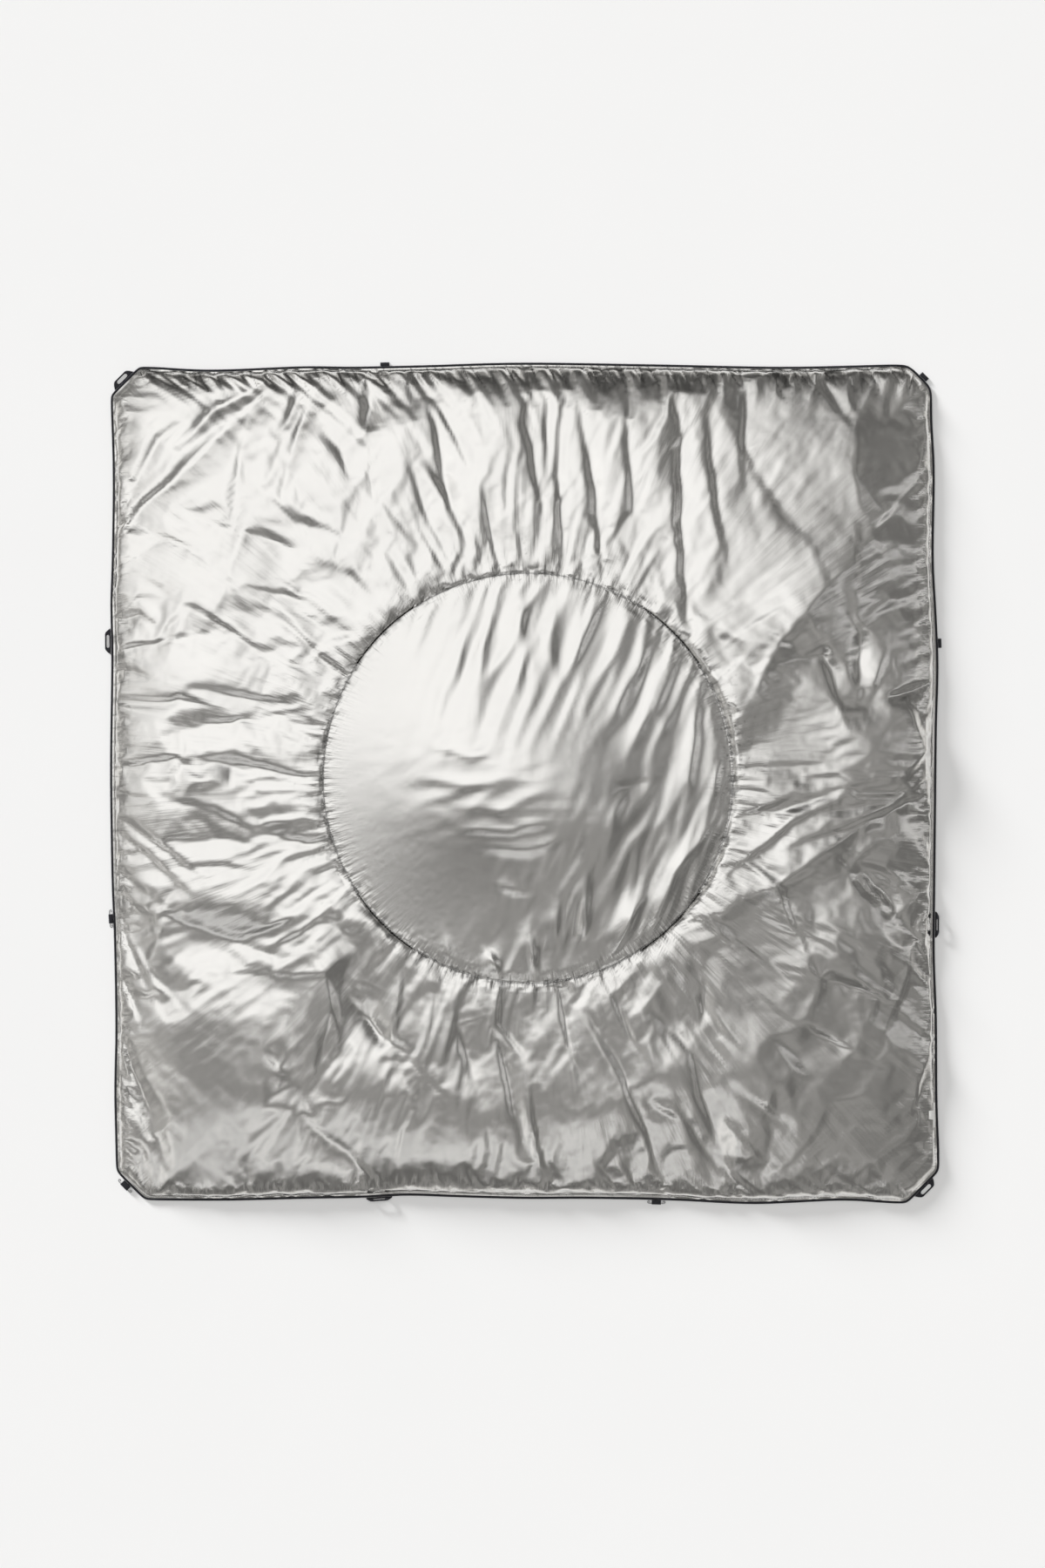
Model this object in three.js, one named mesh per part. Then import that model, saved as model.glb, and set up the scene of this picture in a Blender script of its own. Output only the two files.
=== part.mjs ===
import * as THREE from "three";

// Insulated blanket laid out flat: a filled silver body with a sewn circle in the middle, black piping round the
// edge, webbing loops and tabs along it, wire toggles in three of the tabs and a small folded label.
// Millimetres. +X is the right-hand edge, +Y the top edge as laid out, +Z up from the surface it lies on.

// Driving dimensions
const WIDTH = 1400;
const LENGTH = 1420;
const CROWN_HEIGHT = 34;
const DISC_HEIGHT = 30;
const CHANNEL_HEIGHT = 9;
const CIRCLE = { x: 5.4, y: 8.7, radius: 345 };
const PIPING_DIAMETER = 4;
const PIPING_LIFT = 0.6;
const GAP = 0.3;

// The body's edge between the front and back cloth, and where its flat underside starts
const EDGE_LOW = 1.4;
const EDGE_HIGH = 4.2;
const UNDERSIDE_INSET = 14;

// Steps round the outline
const SIDE_STEPS = 38;
const CORNER_STEPS = 2;

// The four edges in order round the blanket, anticlockwise from above. Each row is a place along the edge and how
// far the piping is drawn in there. The corner at the edge's end is cut off at a slant, with rounded ends.
const EDGES = [
  {
    turn: 0, half: WIDTH / 2, corner: { cut: 40, round: 30 },
    rows: [
      { along: -621, drawn_in: 0 }, { along: -538, drawn_in: 3.4 }, { along: -395, drawn_in: 4.3 },
      { along: -290, drawn_in: 8 }, { along: -170, drawn_in: 7 }, { along: -30, drawn_in: 5.6 },
      { along: 100, drawn_in: 4.3 }, { along: 200, drawn_in: 1.5 }, { along: 311, drawn_in: 6.3 },
      { along: 381, drawn_in: 9.8 }, { along: 530, drawn_in: 7.8 }, { along: 607, drawn_in: 12.2 },
    ],
  },
  {
    turn: 90, half: LENGTH / 2, corner: { cut: 48, round: 18 },
    rows: [
      { along: -620, drawn_in: 3 }, { along: -437, drawn_in: 7 }, { along: -221, drawn_in: 3 },
      { along: 5, drawn_in: 0 }, { along: 174, drawn_in: 4.6 }, { along: 298, drawn_in: 7 },
      { along: 373, drawn_in: 6 }, { along: 530, drawn_in: 12 }, { along: 630, drawn_in: 6.5 },
    ],
  },
  {
    turn: 180, half: WIDTH / 2, corner: { cut: 49, round: 22 },
    rows: [
      { along: -640, drawn_in: 1 }, { along: -524, drawn_in: 4.7 }, { along: -368, drawn_in: 2.8 },
      { along: -308, drawn_in: 0.3 }, { along: -209, drawn_in: 2.2 }, { along: -18, drawn_in: 0 },
      { along: 173, drawn_in: 2.8 }, { along: 244, drawn_in: 6.2 }, { along: 413, drawn_in: 9.1 },
      { along: 516, drawn_in: 7.1 }, { along: 636, drawn_in: 9.8 },
    ],
  },
  {
    turn: 270, half: LENGTH / 2, corner: { cut: 55, round: 22 },
    rows: [
      { along: -620, drawn_in: 6.3 }, { along: -499, drawn_in: 5.9 }, { along: -371, drawn_in: 9.1 },
      { along: -273, drawn_in: 10.6 }, { along: -202, drawn_in: 14.7 }, { along: -118, drawn_in: 11.9 },
      { along: 0, drawn_in: 8.8 }, { along: 109, drawn_in: 9.1 }, { along: 249, drawn_in: 6.3 },
      { along: 378, drawn_in: 0 }, { along: 461, drawn_in: 2.9 }, { along: 545, drawn_in: 6.3 },
      { along: 621, drawn_in: 0.7 },
    ],
  },
];

// Rings of the body's face, as shares of the way from the middle to the sewn circle and on to the edge
const DISC_RINGS = [0.25, 0.5, 0.7, 0.85, 0.95];
const FIELD_RINGS = [0.05, 0.12, 0.2, 0.29, 0.38, 0.47, 0.56, 0.65, 0.74, 0.83, 0.91, 0.965];

// Main folds of the face: a soft ridge, or a trough where the rise is negative, from one point to another
const FOLDS = [
  { x0: -652, y0: 453, x1: -486, y1: 613, half_width: 26, rise: -5 },
  { x0: -628, y0: 499, x1: -459, y1: 646, half_width: 26, rise: 4 },
  { x0: -597, y0: 555, x1: -421, y1: 684, half_width: 24, rise: -4 },
  { x0: -496, y0: 419, x1: -471, y1: 577, half_width: 26, rise: -4 },
  { x0: -177, y0: 678, x1: -127, y1: 481, half_width: 26, rise: -6 },
  { x0: -127, y0: 481, x1: -90, y1: 383, half_width: 24, rise: -5 },
  { x0: 62, y0: 627, x1: 65, y1: 360, half_width: 24, rise: -6 },
  { x0: 82, y0: 610, x1: 100, y1: 370, half_width: 24, rise: 5 },
  { x0: 98, y0: 621, x1: 135, y1: 346, half_width: 24, rise: -6 },
  { x0: 154, y0: 600, x1: 150, y1: 380, half_width: 24, rise: 5 },
  { x0: 233, y0: 600, x1: 230, y1: 380, half_width: 26, rise: 6 },
  { x0: 258, y0: 621, x1: 267, y1: 340, half_width: 26, rise: -6 },
  { x0: 305, y0: 600, x1: 330, y1: 410, half_width: 26, rise: 5 },
  { x0: 562, y0: 399, x1: 431, y1: 246, half_width: 32, rise: 9 },
  { x0: 431, y0: 246, x1: 351, y1: 100, half_width: 30, rise: 8 },
  { x0: 600, y0: 370, x1: 470, y1: 205, half_width: 30, rise: -5 },
  { x0: -690, y0: 136, x1: -492, y1: 114, half_width: 28, rise: -6 },
  { x0: -570, y0: 162, x1: -373, y1: 125, half_width: 26, rise: 5 },
  { x0: -570, y0: 46, x1: -359, y1: 3, half_width: 28, rise: -5 },
  { x0: -609, y0: -30, x1: -317, y1: -120, half_width: 30, rise: -6 },
  { x0: -603, y0: -226, x1: -345, y1: -319, half_width: 30, rise: -5 },
  { x0: 403, y0: -52, x1: 528, y1: -13, half_width: 26, rise: -5 },
  { x0: 624, y0: -32, x1: 523, y1: -114, half_width: 28, rise: 8 },
  { x0: 523, y0: -114, x1: 320, y1: -217, half_width: 28, rise: 8 },
  { x0: -48, y0: -405, x1: 8, y1: -615, half_width: 28, rise: -6 },
  { x0: 2, y0: -514, x1: 32, y1: -664, half_width: 26, rise: 5 },
  { x0: 104, y0: -383, x1: 230, y1: -658, half_width: 28, rise: -6 },
  { x0: 110, y0: 331, x1: 52, y1: 156, half_width: 24, rise: -4 },
  { x0: 199, y0: 268, x1: 154, y1: 100, half_width: 26, rise: -4 },
  { x0: 292, y0: 156, x1: 258, y1: -47, half_width: 30, rise: 5 },
  { x0: 292, y0: -75, x1: 193, y1: -274, half_width: 28, rise: 5 },
  { x0: -152, y0: 43, x1: -33, y1: 49, half_width: 30, rise: -3 },
];

// Gathers along the sewn circle and the edge: their height, how many there are round the blanket, and the share of
// the field they fade over
const GATHER_RISE = 5;
const GATHER_COUNT = 75;
const GATHER_FADE = 0.09;

// Webbing loops: flat pieces with a slot, sewn to the piping. A tilted one stands up on its edge.
const LOOP = { base: 44, flat: 24, thickness: 2.2, lift: 0.5, slot_length: 22, inner_strip: 1.8, outer_strip: 2.4 };
const LOOPS = [
  { name: "loop_corner_top_left", x: -676.6, y: 679.6, slot: 6.4, tilt: 0 },
  { name: "loop_left", x: -700, y: 239.6, slot: 5, tilt: 0 },
  { name: "loop_bottom", x: -245.5, y: -700, slot: 6.4, tilt: 68 },
  { name: "loop_corner_bottom_right", x: 674, y: -681.6, slot: 6.4, tilt: 0 },
  { name: "loop_right", x: 693, y: -238.4, slot: 6.4, tilt: 68 },
];
const LOOP_CORNER_STEPS = 3;

// Webbing tabs, folded over once. Those with a toggle leave room in the fold for its wire.
const TAB = { width: 15.4, cloth: 1, plain_slit: 0.6, lift: 0.5, fold_steps: 6 };
const TOGGLE = { wire: 1.6, play: 0.35, bar: 26, curl: 1.8, sides: 6, steps: 40 };
const TABS = [
  { name: "tab_top", x: -236, y: 705, reach: 6 },
  { name: "tab_corner_top_right", x: 673.2, y: 684.9, reach: 7 },
  { name: "tab_right", x: 698, y: 236.4, reach: 5.5 },
  { name: "tab_left", x: -693, y: -228.1, reach: 7.2, toggle: "toggle_left" },
  { name: "tab_corner_bottom_left", x: -677.7, y: -682.4, reach: 9.7, toggle: "toggle_corner_bottom_left" },
  { name: "tab_bottom", x: 222.2, y: -703, reach: 7.2, toggle: "toggle_bottom" },
];

// Label: a narrow strip in the seam with a short flap folded in over the face. Rows run along the seam.
const LABEL = { y: -559, thickness: 0.7, clearance: 0.8, seam_inset: 5.2, columns: 3 };
const LABEL_ROWS = [
  { along: -21, width: 3.6 }, { along: -8, width: 3.6 }, { along: -7, width: 10.5 },
  { along: 7, width: 10.5 }, { along: 8, width: 3.6 }, { along: 21, width: 3.6 },
];

// Finishes
const silverCloth = () => new THREE.MeshStandardMaterial({ color: 0xb9b8b4, roughness: 0.3, metalness: 1 });
const blackWebbing = () => new THREE.MeshStandardMaterial({ color: 0x17171a, roughness: 0.8, metalness: 0 });
const greyWire = () => new THREE.MeshStandardMaterial({ color: 0x8c8d8f, roughness: 0.35, metalness: 1 });
const whiteTape = () => new THREE.MeshStandardMaterial({ color: 0xf0f0ee, roughness: 0.7, metalness: 0 });

// The outline of the piping's outer side, as points in order anticlockwise
function pipingOutline() {
  const place = (edge, along, out) =>
    new THREE.Vector2(out, along).rotateAround(new THREE.Vector2(), THREE.MathUtils.degToRad(edge.turn));
  const sides = EDGES.map((edge) => edge.rows.map((row) => place(edge, row.along, edge.half - row.drawn_in)));
  const corners = EDGES.map((edge, i) => {
    const next = EDGES[(i + 1) % EDGES.length];
    const outHere = edge.half - edge.rows.at(-1).drawn_in;
    const outNext = next.half - next.rows[0].drawn_in;
    const tip = place(edge, outNext, outHere);
    const start = place(edge, outNext - edge.corner.cut, outHere);
    const end = place(next, edge.corner.cut - outHere, outNext);
    const ease = edge.corner.round * Math.tan(Math.PI / 8);
    const towards = (from, to) => from.clone().add(to.clone().sub(from).setLength(ease));
    return {
      before: start.clone().add(start.clone().sub(tip).setLength(ease)),
      start, cutFrom: towards(start, end), cutTo: towards(end, start), end,
      after: end.clone().add(end.clone().sub(tip).setLength(ease)),
    };
  });
  const outline = [];
  EDGES.forEach((edge, i) => {
    const last = corners[(i + EDGES.length - 1) % EDGES.length];
    const corner = corners[i];
    const side = new THREE.SplineCurve([last.after, ...sides[i], corner.before]);
    outline.push(...side.getSpacedPoints(SIDE_STEPS).slice(0, -1));
    outline.push(...new THREE.QuadraticBezierCurve(corner.before, corner.start, corner.cutFrom)
      .getPoints(CORNER_STEPS).slice(0, -1));
    outline.push(...new THREE.LineCurve(corner.cutFrom, corner.cutTo).getPoints(CORNER_STEPS).slice(0, -1));
    outline.push(...new THREE.QuadraticBezierCurve(corner.cutTo, corner.end, corner.after)
      .getPoints(CORNER_STEPS).slice(0, -1));
  });
  return outline;
}

// The outline moved inwards
function insetOutline(outline, inset) {
  return outline.map((point, k) => {
    const before = outline.at(k - 1);
    const after = outline[(k + 1) % outline.length];
    const along = after.clone().sub(before).normalize();
    return new THREE.Vector2(point.x - along.y * inset, point.y + along.x * inset);
  });
}

// A closed skin over rings of points, from one pole to the other. From below the rings run outwards, over the edge
// and back inwards on top.
function skinOverRings(firstPole, rings, lastPole) {
  const count = rings[0].length;
  const points = [firstPole, ...rings.flat(), lastPole];
  const at = (ring, k) => 1 + ring * count + (k % count);
  const index = [];
  for (let k = 0; k < count; k += 1) {
    index.push(0, at(0, k + 1), at(0, k));
    for (let ring = 0; ring + 1 < rings.length; ring += 1) {
      index.push(at(ring, k), at(ring, k + 1), at(ring + 1, k + 1));
      index.push(at(ring, k), at(ring + 1, k + 1), at(ring + 1, k));
    }
    index.push(at(rings.length - 1, k), at(rings.length - 1, k + 1), points.length - 1);
  }
  const geometry = new THREE.BufferGeometry().setFromPoints(points);
  geometry.setIndex(index);
  return geometry;
}

// Height that the folds add at a point of the face
function foldHeight(x, y) {
  return FOLDS.reduce((height, fold) => {
    const line = new THREE.Line3(new THREE.Vector3(fold.x0, fold.y0, 0), new THREE.Vector3(fold.x1, fold.y1, 0));
    const point = new THREE.Vector3(x, y, 0);
    const near = line.closestPointToPoint(point, true, new THREE.Vector3());
    const across = Math.min(near.distanceTo(point) / fold.half_width, 1);
    return height + fold.rise * (1 - across ** 2) ** 2;
  }, 0);
}

// Gathers: waves round the blanket, none quite like the next. One height for each point of the edge.
function gatherHeights(edge) {
  const lengths = [0];
  edge.forEach((point, k) => lengths.push(lengths[k] + point.distanceTo(edge[(k + 1) % edge.length])));
  const round = lengths.at(-1);
  return edge.map((_, k) => {
    const turn = (lengths[k] / round) * 2 * Math.PI;
    const uneven = 0.65 + 0.35 * Math.sin(turn * 17);
    return GATHER_RISE * uneven * Math.sin(turn * GATHER_COUNT);
  });
}

// The filled body: flat underneath, drawn in to a thin edge, sewn down along the circle
function blanketGeometry(bodyEdge) {
  const middle = new THREE.Vector2(CIRCLE.x, CIRCLE.y);
  const flat = (points, z) => points.map((point) => new THREE.Vector3(point.x, point.y, z));
  const seam = bodyEdge.map((point) =>
    middle.clone().add(point.clone().sub(middle).setLength(CIRCLE.radius)));
  const gathers = gatherHeights(bodyEdge);

  const fieldRing = (share) => seam.map((from, k) => {
    const point = from.clone().lerp(bodyEdge[k], share);
    const crown = (1 - Math.abs(2 * share - 1) ** 2.6) ** 0.75;
    const base = THREE.MathUtils.lerp(CHANNEL_HEIGHT, EDGE_HIGH, share);
    const gather = gathers[k] * (Math.exp(-share / GATHER_FADE) + Math.exp((share - 1) / GATHER_FADE));
    const height = base + (CROWN_HEIGHT - base + foldHeight(point.x, point.y)) * crown + gather;
    return new THREE.Vector3(point.x, point.y, height);
  });
  const discRing = (share) => seam.map((rim, k) => {
    const point = middle.clone().lerp(rim, share);
    const crown = (1 - share ** 3) ** 0.8;
    const gather = gathers[k] * Math.exp((share - 1) / GATHER_FADE);
    const rise = DISC_HEIGHT - CHANNEL_HEIGHT + foldHeight(point.x, point.y);
    const height = CHANNEL_HEIGHT + rise * crown + gather;
    return new THREE.Vector3(point.x, point.y, height);
  });

  const rings = [
    flat(insetOutline(bodyEdge, UNDERSIDE_INSET), 0),
    flat(bodyEdge, EDGE_LOW),
    flat(bodyEdge, EDGE_HIGH),
    ...FIELD_RINGS.toReversed().map(fieldRing),
    flat(seam, CHANNEL_HEIGHT),
    ...DISC_RINGS.toReversed().map(discRing),
  ];
  const under = new THREE.Vector3(middle.x, middle.y, 0);
  const top = new THREE.Vector3(middle.x, middle.y, DISC_HEIGHT + foldHeight(middle.x, middle.y));
  return skinOverRings(under, rings, top);
}

// The piping: a six-sided cord carried round the outline
function pipingGeometry(outline) {
  const sides = 6;
  const radius = PIPING_DIAMETER / 2;
  const points = [];
  for (let side = 0; side < sides; side += 1) {
    const angle = (side / sides) * 2 * Math.PI;
    const ring = insetOutline(outline, radius - radius * Math.cos(angle));
    ring.forEach((point) =>
      points.push(new THREE.Vector3(point.x, point.y, PIPING_LIFT + radius + radius * Math.sin(angle))));
  }
  const count = outline.length;
  const index = [];
  for (let side = 0; side < sides; side += 1) {
    for (let k = 0; k < count; k += 1) {
      const here = side * count;
      const next = ((side + 1) % sides) * count;
      const after = (k + 1) % count;
      index.push(here + k, here + after, next + after);
      index.push(here + k, next + after, next + k);
    }
  }
  const geometry = new THREE.BufferGeometry().setFromPoints(points);
  geometry.setIndex(index);
  return geometry;
}

// The place on the outline nearest to a point: a group whose x runs along the edge and whose y points outwards,
// far enough out to clear the edge all along the span
function edgeGroup(outline, x, y, span) {
  const wanted = new THREE.Vector3(x, y, 0);
  let best = null;
  outline.forEach((from, k) => {
    const to = outline[(k + 1) % outline.length];
    const line = new THREE.Line3(new THREE.Vector3(from.x, from.y, 0), new THREE.Vector3(to.x, to.y, 0));
    const near = line.closestPointToPoint(wanted, true, new THREE.Vector3());
    const distance = near.distanceTo(wanted);
    if (best === null || distance < best.distance) {
      best = { distance, near, turn: Math.atan2(to.y - from.y, to.x - from.x) };
    }
  });
  const along = new THREE.Vector2(Math.cos(best.turn), Math.sin(best.turn));
  const outwards = new THREE.Vector2(along.y, -along.x);
  const bulge = outline
    .map((point) => new THREE.Vector2(point.x - best.near.x, point.y - best.near.y))
    .filter((point) => Math.abs(point.dot(along)) < span)
    .reduce((most, point) => Math.max(most, point.dot(outwards)), 0);
  const group = new THREE.Group();
  group.position.set(best.near.x + outwards.x * bulge, best.near.y + outwards.y * bulge, 0);
  group.rotation.z = best.turn + Math.PI;
  return group;
}

// A webbing loop: a flat piece that narrows outwards, with a round-ended slot
function loopGeometry(slot) {
  const reach = LOOP.inner_strip + slot + LOOP.outer_strip;
  const plate = new THREE.Shape();
  plate.moveTo(-LOOP.base / 2, 0);
  plate.lineTo(LOOP.base / 2, 0);
  plate.quadraticCurveTo(LOOP.flat / 2 + 4, reach, LOOP.flat / 2, reach);
  plate.lineTo(-LOOP.flat / 2, reach);
  plate.quadraticCurveTo(-LOOP.flat / 2 - 4, reach, -LOOP.base / 2, 0);
  const hole = new THREE.Path();
  const end = (LOOP.slot_length - slot) / 2;
  const middle = LOOP.inner_strip + slot / 2;
  hole.absarc(end, middle, slot / 2, -Math.PI / 2, Math.PI / 2, false);
  hole.absarc(-end, middle, slot / 2, Math.PI / 2, 1.5 * Math.PI, false);
  plate.holes.push(hole);
  return new THREE.ExtrudeGeometry(plate,
    { depth: LOOP.thickness, bevelEnabled: false, curveSegments: LOOP_CORNER_STEPS });
}

// A webbing tab: one strip folded over, its two layers a little apart
function tabGeometry(reach, slit) {
  const inner = slit / 2;
  const outer = inner + TAB.cloth;
  const fold = reach - outer;
  const section = new THREE.Shape();
  section.moveTo(0, -outer);
  section.lineTo(fold, -outer);
  section.absarc(fold, 0, outer, -Math.PI / 2, Math.PI / 2, false);
  section.lineTo(0, outer);
  section.lineTo(0, inner);
  section.lineTo(fold, inner);
  section.absarc(fold, 0, inner, Math.PI / 2, -Math.PI / 2, true);
  section.lineTo(0, -inner);
  const geometry = new THREE.ExtrudeGeometry(section,
    { depth: TAB.width, bevelEnabled: false, curveSegments: TAB.fold_steps });
  // The section's first axis becomes outwards, its second up, and the extrusion runs along the edge
  geometry.translate(0, 0, -TAB.width / 2);
  geometry.rotateX(Math.PI / 2);
  geometry.rotateZ(Math.PI / 2);
  return geometry;
}

// A wire toggle: a straight bar with each end curled back towards the blanket
function toggleGeometry() {
  const half = TOGGLE.bar / 2;
  const curl = TOGGLE.curl;
  const turned = [0.25, 0.5, 0.75, 1, 1.25, 1.5].map((share) => share * Math.PI);
  const ring = turned.map((angle) =>
    new THREE.Vector3(half + curl * Math.sin(angle), curl * Math.cos(angle) - curl, 0));
  const mirrored = ring.map((point) => new THREE.Vector3(-point.x, point.y, 0)).reverse();
  const bar = [-half, 0, half].map((x) => new THREE.Vector3(x, 0, 0));
  const path = new THREE.CatmullRomCurve3([...mirrored, ...bar, ...ring], false, "centripetal");
  const section = new THREE.Shape();
  for (let side = 0; side < TOGGLE.sides; side += 1) {
    const angle = (side / TOGGLE.sides) * 2 * Math.PI;
    const corner = [TOGGLE.wire / 2 * Math.cos(angle), TOGGLE.wire / 2 * Math.sin(angle)];
    if (side === 0) section.moveTo(...corner);
    else section.lineTo(...corner);
  }
  return new THREE.ExtrudeGeometry(section, { steps: TOGGLE.steps, bevelEnabled: false, extrudePath: path });
}

// The label: a thin slab that follows the face below it
function labelGeometry(blanket, outline) {
  const seam = edgeGroup(outline, WIDTH / 2, LABEL.y, 0).position.x - LABEL.seam_inset;
  const caster = new THREE.Raycaster();
  const faceHeight = (x, y) => {
    caster.set(new THREE.Vector3(x, y, 2 * CROWN_HEIGHT), new THREE.Vector3(0, 0, -1));
    return caster.intersectObject(blanket)[0].point.z;
  };
  const layers = [0, LABEL.thickness].map((lift) => LABEL_ROWS.map((row) => {
    const points = [];
    for (let column = 0; column <= LABEL.columns; column += 1) {
      const x = seam - (row.width * column) / LABEL.columns;
      const y = LABEL.y + row.along;
      points.push(new THREE.Vector3(x, y, faceHeight(x, y) + LABEL.clearance + lift));
    }
    return points;
  }));
  const columns = LABEL.columns + 1;
  const layerSize = LABEL_ROWS.length * columns;
  const at = (layer, row, column) => layer * layerSize + row * columns + column;
  const index = [];
  const quad = (a, b, c, d) => index.push(a, b, c, a, c, d);
  for (let row = 0; row + 1 < LABEL_ROWS.length; row += 1) {
    for (let column = 0; column < LABEL.columns; column += 1) {
      quad(at(1, row, column), at(1, row + 1, column), at(1, row + 1, column + 1), at(1, row, column + 1));
      quad(at(0, row, column), at(0, row, column + 1), at(0, row + 1, column + 1), at(0, row + 1, column));
    }
    quad(at(0, row, 0), at(0, row + 1, 0), at(1, row + 1, 0), at(1, row, 0));
    const inner = LABEL.columns;
    quad(at(1, row, inner), at(1, row + 1, inner), at(0, row + 1, inner), at(0, row, inner));
  }
  const lastRow = LABEL_ROWS.length - 1;
  for (let column = 0; column < LABEL.columns; column += 1) {
    quad(at(0, 0, column), at(1, 0, column), at(1, 0, column + 1), at(0, 0, column + 1));
    quad(at(0, lastRow, column + 1), at(1, lastRow, column + 1), at(1, lastRow, column), at(0, lastRow, column));
  }
  const geometry = new THREE.BufferGeometry().setFromPoints(layers.flat(2));
  geometry.setIndex(index);
  return geometry;
}

function namedMesh(name, geometry, material) {
  const mesh = new THREE.Mesh(geometry, material);
  mesh.name = name;
  return mesh;
}

const outline = pipingOutline();
const bodyEdge = insetOutline(outline, PIPING_DIAMETER + GAP);
const blanketRow = new THREE.Group();

const blanket = namedMesh("blanket", blanketGeometry(bodyEdge), silverCloth());
blanketRow.add(blanket);
blanketRow.add(namedMesh("binding", pipingGeometry(outline), blackWebbing()));

LOOPS.forEach((row) => {
  const place = edgeGroup(outline, row.x, row.y, LOOP.base);
  const loop = namedMesh(row.name, loopGeometry(row.slot), blackWebbing());
  const tilt = THREE.MathUtils.degToRad(row.tilt);
  loop.position.set(0, GAP + LOOP.thickness * Math.sin(tilt), LOOP.lift);
  loop.rotation.x = tilt;
  place.add(loop);
  blanketRow.add(place);
});

TABS.forEach((row) => {
  const place = edgeGroup(outline, row.x, row.y, TAB.width);
  const slit = row.toggle ? TOGGLE.wire + 2 * TOGGLE.play : TAB.plain_slit;
  const height = TAB.lift + TAB.cloth + slit / 2;
  const tab = namedMesh(row.name, tabGeometry(row.reach, slit), blackWebbing());
  tab.position.set(0, GAP, height);
  place.add(tab);
  if (row.toggle) {
    const toggle = namedMesh(row.toggle, toggleGeometry(), greyWire());
    toggle.position.set(0, GAP + row.reach - TAB.cloth - slit / 2, height);
    place.add(toggle);
  }
  blanketRow.add(place);
});

blanketRow.add(namedMesh("label", labelGeometry(blanket, outline), whiteTape()));

// The origin is the middle of the whole outline, on the surface the blanket lies on
const extent = new THREE.Box3().setFromObject(blanketRow);
const middle = extent.getCenter(new THREE.Vector3());
blanketRow.position.set(-middle.x, -middle.y, 0);

export default blanketRow;
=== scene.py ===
import math

import bmesh
import bpy
import numpy as np
from mathutils import Matrix, Vector, noise
from mathutils.bvhtree import BVHTree
from mathutils.kdtree import KDTree


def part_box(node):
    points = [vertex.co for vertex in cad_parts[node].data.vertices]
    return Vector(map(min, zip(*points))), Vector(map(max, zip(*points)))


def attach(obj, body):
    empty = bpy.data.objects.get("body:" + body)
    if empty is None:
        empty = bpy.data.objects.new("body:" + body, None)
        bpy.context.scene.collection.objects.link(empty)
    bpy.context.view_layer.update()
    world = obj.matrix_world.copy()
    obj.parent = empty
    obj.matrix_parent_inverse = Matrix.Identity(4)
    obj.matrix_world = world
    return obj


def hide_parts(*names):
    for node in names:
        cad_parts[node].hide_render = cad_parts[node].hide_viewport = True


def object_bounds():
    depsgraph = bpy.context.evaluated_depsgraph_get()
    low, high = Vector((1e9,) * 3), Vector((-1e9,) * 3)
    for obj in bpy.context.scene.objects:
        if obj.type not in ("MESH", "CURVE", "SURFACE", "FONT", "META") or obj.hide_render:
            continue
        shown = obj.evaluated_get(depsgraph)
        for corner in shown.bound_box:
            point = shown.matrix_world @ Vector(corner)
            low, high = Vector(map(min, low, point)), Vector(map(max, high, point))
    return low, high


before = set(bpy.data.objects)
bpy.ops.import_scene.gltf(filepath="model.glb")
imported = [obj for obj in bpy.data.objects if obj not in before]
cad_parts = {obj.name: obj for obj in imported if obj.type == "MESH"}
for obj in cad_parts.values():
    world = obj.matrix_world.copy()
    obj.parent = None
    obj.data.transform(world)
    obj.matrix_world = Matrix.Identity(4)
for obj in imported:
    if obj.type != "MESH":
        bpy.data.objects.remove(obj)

bl_info = {
    "name": "Insulated blanket",
    "version": (1, 0, 0),
    "blender": (4, 5, 0),
    "location": "View3D > Sidebar > Blanket",
    "description": "Builds a filled silver blanket with piping, loops, tabs, toggles and a label",
    "category": "Object",
}

CAD_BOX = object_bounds()
BODY = "root"
MM = 0.001

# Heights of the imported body's edge, between which its front and back cloth meet the piping
EDGE_LOW = 1.4 * MM
EDGE_HIGH = 4.2 * MM
UNDERSIDE_INSET = 14 * MM

# Widths of the bands along the seam and the edge whose cells are cut finer
SEAM_PUCKER_BAND = 20 * MM
EDGE_PUCKER_BAND = 30 * MM

# Shape across a fold, in half widths: how fast its steep and gentle sides fall, and its rounded crest
STEEP_SIDE = 0.5
GENTLE_SIDE = 1.3
CREST_ROUNDING = 0.4

# How far a fold's line wavers, and how often in a metre
FOLD_SWAY = 7 * MM
FOLD_SWAYS = 14

# Part of half a wave by which a fold rises and falls along its line
FOLD_START, FOLD_SPAN = 0.08, 0.84

# Distances over which the field's folds rise from the seam and from the edge, and the disc's from the seam
SEAM_RAMP = 10 * MM
EDGE_RAMP = 15 * MM
DISC_RAMP = 18 * MM

# Heights of the unevenness that the simulation starts from
BROAD_WAVE = 5 * MM
FINE_FOLD = 1.2 * MM
CRUMPLE = 3 * MM
EDGE_GATHER = 8 * MM
SEAM_GATHER = 4 * MM

# Pleats put in after it: height in millimetres, then noise cells in a metre of edge or a radian of seam
EDGE_PLEAT, EDGE_PLEATS = 2, 48
SHORT_EDGE_PLEAT, SHORT_EDGE_PLEATS = 0.5, 105
RING_PLEAT, RING_PLEATS = 2, 24
SHORT_RING_PLEAT, SHORT_RING_PLEATS = 1.2, 50

# Heights of the small creases of the field and the small folds of the disc
CREASE = 0.5 * MM
DISC_FOLD = 2.2 * MM

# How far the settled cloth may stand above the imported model
CLOTH_PROUD = 7 * MM

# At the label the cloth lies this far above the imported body, and changes over from there to its own height
LABEL_GAP = 0.5 * MM
LABEL_CLEAR = 4 * MM
LABEL_REACH = 22 * MM

# Share of the thread that stands above the cloth, and the topstitch's distance from the edge
STITCH_LIFT = 0.15
STITCH_INSET = 2.8 * MM

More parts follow.
